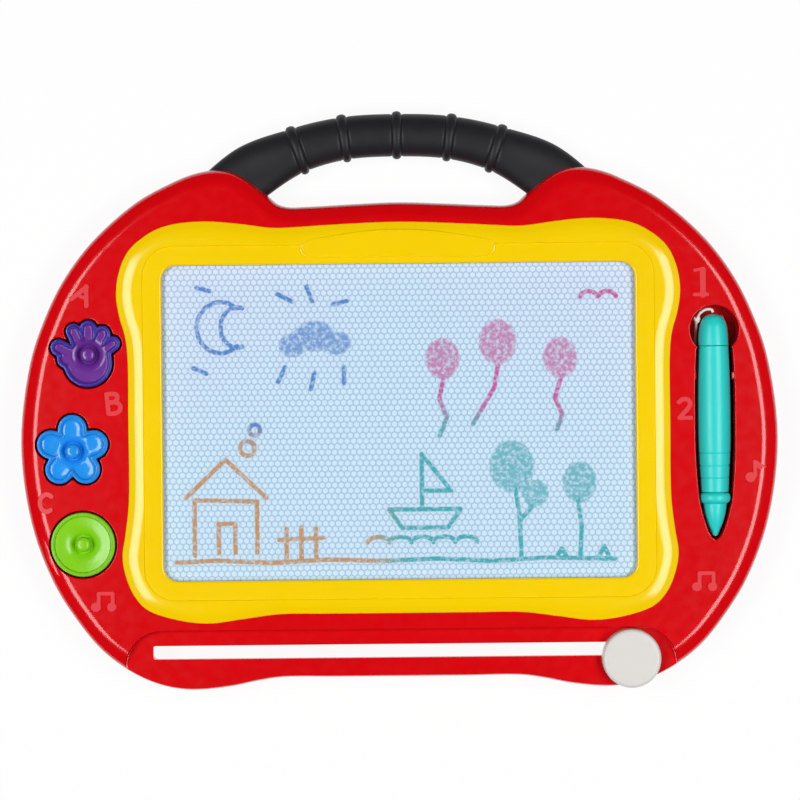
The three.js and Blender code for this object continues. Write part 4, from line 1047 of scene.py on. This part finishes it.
def make_cell_sheet():
    """Cells with the powder drawn up under the strokes and patches, the print's colour over it, and the
    fluid's pale blue, paler and more lavender towards the upper corners, with a painted highlight that makes
    each cell's dome a little lighter."""
    sheet = model_cells()
    powder = sheet.data.attributes.new("powder", "FLOAT", "POINT")
    tint = sheet.data.attributes.new("tint", "FLOAT_COLOR", "POINT")
    wash = sheet.data.attributes.new("wash", "FLOAT_COLOR", "POINT")
    plain, corner_wash = [Vector(linear(colour)) for colour in WASH]
    dome_top = CELL_TOP - CELL_DEPTH + CELL_DOME
    for index, vertex in enumerate(sheet.data.vertices):
        x, y = vertex.co.x / MM, vertex.co.y / MM - WINDOW_Y
        stroke = share_of((STROKE_EDGE - stroke_distance(x, y)) / STROKE_SOFT)
        amount = max(stroke, PATCH_COVER * share_of(patch_depth(x, y) / PATCH_SOFT))
        powder.data[index].value = amount
        tint.data[index].color = (*ink_at(x, y), 1) if amount else (1, 1, 1, 1)
        corner = share_of((abs(x) / WINDOW_HALF[0] + y / WINDOW_HALF[1] - 0.6) / 1.3)
        # Painted highlight: the top of each cell's dome is made a little lighter
        dome_highlight = PAINTED_DOME_HIGHLIGHT if abs(vertex.co.z / MM - dome_top) < 0.02 else 1
        wash.data[index].color = plain.lerp(corner_wash, corner) * dome_highlight
    return settle(sheet, "cell_sheet", "case", None, ["screen_core"],
                  angle=20, weighted=False)


make_cell_sheet()


# handle

def ring_profile(place):
    """Way along the spine, with how far the grip stands out there: a ring, or the groove beside it."""
    near = min(abs(place - ring) for ring in RING_PLACES)
    if near < RING_HALF:
        swell = math.sqrt(1 - (near / RING_HALF) ** 2)
        return place, RING_RISE * swell, RING_RISE_DEEP * swell
    if near < RING_HALF + GROOVE_WIDTH:
        dip = GROOVE_DIP * math.sin(math.pi * (near - RING_HALF) / GROOVE_WIDTH)
        return place, -dip, -dip
    return place, 0, 0


def grip_stations():
    """Places of the loops: even ones, and closer ones over each ring."""
    places = []
    step = -GRIP_HALF
    while step <= GRIP_HALF:
        places.append(step)
        step += GRIP_STEP
    for ring in RING_PLACES:
        places = [place for place in places if abs(place - ring) > RING_STATIONS[0] + 0.2]
        places += [ring + shift for shift in (*[-s for s in RING_STATIONS], 0, *RING_STATIONS)]
    return sorted({round(place, 3) for place in places} | {round(GRIP_HALF, 3)})


def make_handle():
    """Two half grips, cut from one hollow grip with sleeves for the case's bosses and its own screws."""
    grip = sweep("grip", grip_sections(0, [ring_profile(place) for place in grip_stations()]))
    combine(grip, [plain_grip(-GRIP_WALL, 1)])
    sleeves = [rod(side * SCREWS[0][0], SCREWS[0][1], SLEEVE_RADIUS, 0, 30) for side in (-1, 1)]
    bosses = [rod(x, y, GRIP_BOSS, 0, 30) for x, y in GRIP_SCREWS]
    fill = merge_into(sleeves[0], [sleeves[1], *bosses])
    combine(fill, [plain_grip(-0.6, 0)], "INTERSECT")
    combine(grip, [fill], "UNION")
    combine(grip, [rod(side * SCREWS[0][0], SCREWS[0][1], SLEEVE_BORE, -1, 30) for side in (-1, 1)])
    for name, node_name, low, high, holes in (
        ("grip_front", "handle_front", GRIP_Z + SEAM, 60, [(PILOT, 15.1, 16)]),
        ("grip_rear", "handle_rear", -40, GRIP_Z - SEAM, [(SINK_RADIUS, 5.8, 32), (SHANK_HOLE, 20, 20)]),
    ):
        activate(grip)
        bpy.ops.object.duplicate()
        half_grip = bpy.context.object
        combine(half_grip, [block(-300, 300, 0, 300, low, high)], "INTERSECT")
        for radius, top, steps in holes:
            combine(half_grip, [rod(x, y, radius, -1, top, steps) for x, y in GRIP_SCREWS])
        settle(half_grip, name, "case", black_pp, [node_name], angle=40)
    bpy.data.objects.remove(grip)


make_handle()


# eraser

def make_eraser_knob():
    """Round knob with a rolled edge, hollow behind, on a stem over the slot."""
    levels = [(0, 19.4), (0, 24.6)]
    for step in range(1, 7):
        angle = FULL_TURN / 4 * step / 6
        levels.append((2.2 * (1 - math.cos(angle)), 24.8 + 2.2 * math.sin(angle)))
    levels += [(3.4, 27), (15, 27)]
    knob = levelled("eraser_knob", circle(KNOB_X, KNOB_Y, KNOB_RADIUS, 96), levels)
    hollow = levelled("hollow", circle(KNOB_X, KNOB_Y, KNOB_RADIUS - 2, 64), [(0, 18), (0, 24.2), (0.8, 25)])
    combine(knob, [hollow])
    combine(knob, [rod(KNOB_X, SLOT_Y, SLOT_HALF[1], 19.45, 26)], "UNION")
    combine(knob, [rod(KNOB_X, SLOT_Y, PILOT, 0, 25, 20)])
    return settle(knob, "eraser_knob", "eraser", grey_abs, ["slider_knob"])


def make_keeper():
    """Plate that holds the knob from behind, with a sink for its screw."""
    outline = rounded_box(KNOB_X, SLOT_Y, 11, 6.5, 2.4, 6)
    plate = levelled("eraser_keeper", outline, [(0.4, 0.95), (0.1, 1.05), (0, 1.35), (0, 3.15)])
    sink = levelled("sink", circle(KNOB_X, SLOT_Y, SINK_RADIUS), [(-0.2, 0), (0, 1.3), (0, 2.05)])
    combine(plate, [sink, rod(KNOB_X, SLOT_Y, 1.6, 0, 4, 20)])
    return settle(plate, "eraser_keeper", "eraser", grey_abs, ["slider_keeper"])


make_eraser_knob()
make_keeper()


# stamps

def stamp(name, outline, centre, body, finish, node_name, dish, moat, rim=2.2):
    """Stamp with a rounded rim, a dished floor and a knob in a moat. The dish is given in from the
    rim's inner edge and down from its top, the moat out from the middle and up from the floor."""
    levels = [(0.3, STAMP_BOTTOM), (0, STAMP_BOTTOM + 0.3)]
    for step in range(6):
        angle = FULL_TURN * step / 20
        levels.append((0.7 * (1 - math.cos(angle)), STAMP_TOP - 0.7 * (1 - math.sin(angle))))
    base = grown(name, outline, [*levels, (1, STAMP_TOP)])
    lip = [(0.02, 0.6), (-0.08, 0.3), (-0.3, 0.07), (-0.7, -0.02), (-0.8, -1)]
    hollow = [(drawn, STAMP_TOP - down) for drawn, down in [*reversed(dish), *lip]]
    combine(base, [grown("hollow", lambda grow: outline(grow - rim), hollow)])
    if moat:
        rings = [(moat[-1][0] - out, height) for out, height in moat]
        combine(base, [levelled("moat", circle(*centre, moat[-1][0], 64), rings)])
    knob = [(0, STAMP_BOTTOM + 1), (0, STAMP_FLOOR + 1), (0.25, 23.4)]
    for step in range(7):
        angle = FULL_TURN / 4 * step / 6
        knob.append((0.4 + 2.9 * (1 - math.cos(angle)), GRASP_TOP - 1.5 * (1 - math.sin(angle))))
    combine(base, [levelled("knob", circle(*centre, GRASP_RADIUS, 48), knob)], "UNION")
    # The rim attribute marks the high rim tops away from the knob, where the material paints its tone of
    # shade and reflection
    edge = base.data.attributes.new("rim", "FLOAT", "POINT")
    middle = Vector(centre)
    for vertex in base.data.vertices:
        place = vertex.co / MM
        high = place.z > STAMP_TOP - 0.85 and (place.xy - middle).length > GRASP_RADIUS + 1.2
        edge.data[vertex.index].value = 1 if high else 0
    return settle(base, name, body, finish, [node_name])


MOAT = [(4.7, 18.9), (5, 19.05), (5.6, 19.9), (6.4, 20.9), (7.4, 21.7), (8.6, 22.2), (10, 22.5), (10.4, 22.8)]
stamp("hand_press", hand_outline, HAND, "hand", purple_ps, "hand_stamp",
      [(0, 0.8), (0.25, 1.3), (0.7, 1.7), (1.3, 1.85)], MOAT, rim=1.9)
stamp("flower_press", flower_outline, FLOWER, "flower", blue_ps, "flower_stamp",
      [(0, 0.8), (0.3, 1.15), (0.9, 1.5), (2, 1.85), (3.3, 2.05), (4.6, 2.1)], MOAT)
stamp("disc_press", disc_outline, DISC, "disc", green_ps, "disc_stamp",
      [(0, 0.7), (0.2, 1), (0.6, 1.2), (3, 1.5), (5.5, 2), (7.5, 2.8), (9, 3.9), (10.1, 5.1), (10.6, 5.4)],
      None)


# pen

# Profiles from pairs of radius and distance down from the pen's end
PEN_DOME = [(0.02, 0), (2.7, 0.43), (5.1, 1.95), (6.9, 5.3), (7.8, 10.6), (8.2, 17.1)]
PEN_SPIGOT = [(8.0, 17.4), (5.1, 17.4), (5.1, 25.7), (0.02, 25.7)]
PEN_BARREL = [(8.22, 18.5), (8.74, 33.7), (8.97, 55), (8.9, 69)]
PEN_GROOVES = [(75.7, 8.65), (82.6, 8.3), (89.3, 7.95)]
GROOVE = [(0.04, -0.3), (-0.1, -0.1), (-0.45, 0.05), (-0.45, 0.3), (-0.15, 0.5), (-0.05, 0.75)]
PEN_BORE = 5.4
PEN_COLLAR = [
    (7.5, 97.75), (8.3, 98.6), (8.75, 100.3), (8.5, 101.9), (7.6, 103.1), (6.7, 103.5), (6.5, 103.9),
]
PEN_CONE = [(6.42, 104.5), (6.1, 107.6), (5.35, 111.4), (4.1, 115.2), (2.6, 118.8), (1.75, 120.9)]
PEN_TIP = [
    (0.02, 113.2), (1.25, 113.2), (1.3, 113.4), (1.3, 121.1), (1.05, 121.5), (0.6, 121.68), (0.02, 121.7),
]


def spun(name, profile, steps=56):
    """Turned about the pen's axis from pairs of radius and distance down from the pen's end."""
    loops = []
    for radius, down in profile:
        loops.append([
            (PEN_X + radius * math.sin(FULL_TURN * i / steps), PEN_TOP_Y - down,
             PEN_AXIS_Z + radius * math.cos(FULL_TURN * i / steps))
            for i in range(steps)
        ])
    return sweep(name, loops)


def smooth_profile(knots, steps):
    return [(x, y) for x, y in smooth_curve(knots, False, steps)]


def make_pen():
    """Domed end, barrel with three grooves, nose with its collar, and the magnet in its tip."""
    dome = spun("pen_dome", [*smooth_profile(PEN_DOME, 6), *PEN_SPIGOT])
    settle(dome, "pen_dome", "pen", teal_pp, ["pen_end_cap"], angle=35)
    barrel = [(8.0, 17.7), (8.2, 17.95), *smooth_profile(PEN_BARREL, 8)]
    for start, radius in PEN_GROOVES:
        barrel += [(radius + out, start + down) for out, down in GROOVE]
    barrel += [(7.65, 96.7), (7.5, 97.1), (7.2, 97.4), (PEN_BORE, 97.4)]
    skin = spun("pen_body", barrel)
    combine(skin, [spun("bore", [(PEN_BORE, 16), (PEN_BORE, 99)])])
    settle(skin, "pen_body", "pen", teal_pp, ["pen_barrel"], angle=35)
    nose = [(0.02, 89.7), (5.1, 89.7), (5.1, 97.7), (7.2, 97.7), *smooth_profile(PEN_COLLAR, 4)]
    nose += [*smooth_profile(PEN_CONE, 5), (1.6, 120.9)]
    cone = spun("pen_cone", nose)
    combine(cone, [spun("bore", [(1.55, 113), (1.55, 123)], 24)])
    settle(cone, "pen_cone", "pen", teal_pp, ["pen_nose"], angle=35)
    settle(spun("pen_magnet", PEN_TIP, 24), "pen_magnet", "pen", steel, ["pen_tip"], angle=35)


make_pen()


# screws

def screw(name, x, y, head_bottom, head_height, length, body, node_name):
    """Low round head that faces the back, with a cross recess."""
    top = head_bottom + head_height
    levels = [
        (2.3, head_bottom), (1.2, head_bottom + 0.08), (0.4, head_bottom + 0.3),
        (0.05, head_bottom + head_height * 0.6), (0, top), (2.1, top + 0.01), (2.1, top + length - 1.2),
        (3.2, top + length),
    ]
    piece = levelled(name, circle(x, y, HEAD_RADIUS, 24), levels)
    depth = head_bottom + head_height * 0.6
    for wide, high in ((1.7, 0.4), (0.4, 1.7)):
        combine(piece, [block(x - wide, x + wide, y - high, y + high, head_bottom - 1, depth)])
    return settle(piece, name, body, steel, [node_name])


def make_screws():
    places = [(side * x, y) for x, y in SCREWS for side in (1, -1)]
    for number, (x, y) in enumerate(places, 1):
        screw(f"closing_screw_{number}", x, y, 2.1, 2, 12.7, "case", f"case_screw_{number}")
    for number, (x, y) in enumerate(GRIP_SCREWS, 1):
        screw(f"grip_screw_{number}", x, y, 3.7, 2, 9, "case", f"handle_screw_{number}")
    screw("eraser_screw", KNOB_X, SLOT_Y, 1.0, 1.05, 22.6, "eraser", "slider_screw")


make_screws()


# raised signs

SIGN_STROKE = 2.8
SIGN_PROUD = 0.75
SIGN_LEVELS = [(0, 0), (0, 1.0), (0.22, 1.2)]
SIGN_B_TOP = [(-2.9, 5.4), (0.2, 5.3), (2.3, 4.6), (2.6, 2.6), (1.2, 1), (-2.6, 0.7)]
SIGN_B_LOW = [(-2.6, 0.7), (1.2, 0.5), (3.4, -0.9), (3.5, -3.6), (1.6, -5.2), (-2.9, -5.3)]
SIGN_2_HOOK = [(-3.2, 3.7), (-1.2, 5.2), (1.5, 5), (2.9, 3), (1.9, 0.6), (-0.8, -2.4), (-3, -4.8)]
NOTE_FLAG = [([(0.6, -2.6), (0.4, 5)], 2.4), ([(0.4, 5), (3.2, 3.2)], 2.6), ([(3.2, 3.3), (6, 2.4)], 1.5),
             ([(1.6, 2.4), (3.4, 1.6)], 1.7)]
NOTE_PAIR = [([(-3, -2.4), (-3, 4.5)], 2.4), ([(4.6, -2.8), (4.6, 4.5)], 2.4), ([(-3, 4.5), (4.6, 4.5)], 2.4)]
NOTE_HEADS = [(-4.5, -2.8, 2.9, 2.7), (4, -2.9, 2.7, 2.6)]

# Signs by name: strokes with their widths, round heads, middle in the picture's pixels, and turn
SIGNS = {
    "sign_a": ([([(0.2, 4.6), (-4.6, -5)], SIGN_STROKE), ([(-0.2, 4.6), (4.4, -5)], SIGN_STROKE),
                ([(-2.8, -1.6), (2.8, -1.6)], 2.2)], [], (83, 294.5), -25),
    "sign_b": ([([(-3, -5.3), (-3, 5.4)], SIGN_STROKE), (smooth_curve(SIGN_B_TOP, False, 4), SIGN_STROKE),
                (smooth_curve(SIGN_B_LOW, False, 4), SIGN_STROKE)], [], (113.3, 403.8), 6),
    "sign_c": ([(arc(0, 0, 3.7, 4.7, 0.14, 0.86, 20), SIGN_STROKE)], [], (46.9, 503.2), -3),
    "sign_1": ([([(1.2, -7.2), (1.2, 6.6)], 3.5), ([(-3.4, -6.9), (3.6, -6.9)], 2.3),
                ([(-3.1, 6.3), (0.4, 6.9)], 2.1)], [], (700.5, 282), 0),
    "sign_2": ([(smooth_curve(SIGN_2_HOOK, False, 4), SIGN_STROKE), ([(-3, -5), (3.3, -4.9)], 2.5)], [],
               (684.8, 409), 0),
    "sign_note_1": (NOTE_FLAG, [(-2, -3.2, 3, 2.9)], (754, 471.3), 0),
    "sign_note_2": (NOTE_PAIR, NOTE_HEADS, (104.4, 602), 0),
    "sign_note_3": (NOTE_PAIR, NOTE_HEADS, (705, 581.5), 0),
}

bpy.context.view_layer.update()
case_surface = BVHTree.FromObject(case_front, bpy.context.evaluated_depsgraph_get())


def surface_height(x, y):
    hit = case_surface.ray_cast(mm(x, y, 100), Vector((0, 0, -1)))[0]
    return hit.z / MM if hit else FACE_Z


def stroke_outline(points, width):
    """Outline round a line of points with round ends."""
    points = [Vector(p) for p in points]
    left, right = [], []
    for index, point in enumerate(points):
        before, after = points[max(index - 1, 0)], points[min(index + 1, len(points) - 1)]
        if 0 < index < len(points) - 1:
            one, two = (point - before).normalized(), (after - point).normalized()
            along = (one + two).normalized()
            stretch = 1 / max(along.dot(one), 0.5)
        else:
            along, stretch = (after - before).normalized(), 1
        side = Vector((-along.y, along.x)) * width / 2 * stretch
        left.append(point + side)
        right.append(point - side)
    start = (points[1] - points[0]).normalized()
    end = (points[-1] - points[-2]).normalized()

    def cap(tip, along):
        side = Vector((-along.y, along.x)) * width / 2
        angles = [math.pi * step / 6 for step in range(1, 6)]
        return [tip - side * math.cos(a) + along * width / 2 * math.sin(a) for a in angles]

    return [*right, *cap(points[-1], end), *reversed(left), *cap(points[0], -start)]


def photo_place(x, y):
    """Place on the face from the measured column and row of the picture's frame."""
    across, up = (x - PIXEL_COLUMN) * PIXEL, (PIXEL_ROW - y) * PIXEL
    return across * math.cos(ROLL) - up * math.sin(ROLL), up * math.cos(ROLL) + across * math.sin(ROLL)


def raised_sign(name, strokes, heads, pixel, turn):
    """Strokes and round heads about the sign's middle, moulded on to the case's surface."""
    parts = [levelled("stroke", stroke_outline(points, width), SIGN_LEVELS) for points, width in strokes]
    parts += [levelled("stroke", ellipse(*head, 20), SIGN_LEVELS) for head in heads]
    sign = parts[0]
    combine(sign, parts[1:], "UNION")
    spin = Matrix.Rotation(math.radians(turn), 4, "Z")
    sign.data.transform(Matrix.Translation(mm(*photo_place(*pixel), 0)) @ spin)
    for vertex in sign.data.vertices:
        x, y, z = vertex.co / MM
        vertex.co.z = (surface_height(x, y) + SIGN_PROUD - SIGN_LEVELS[-1][1] + z) * MM
    return settle(sign, name, "case", red_sign, angle=40)


for sign_name, drawing in SIGNS.items():
    raised_sign(sign_name, *drawing)


# carried-over nodes

for names, finish in (
    (("screen_film",), film), (("screen_back_sheet",), sheet_pvc), (("slider_carriage",), grey_abs),
    (("eraser_magnet", "hand_magnet", "flower_magnet", "disc_magnet"), ferrite), (("string_stop",), nylon),
):
    for name in names:
        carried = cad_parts[name]
        carried.data.materials.clear()
        carried.data.materials.append(finish)

lay_floor()
light_studio()
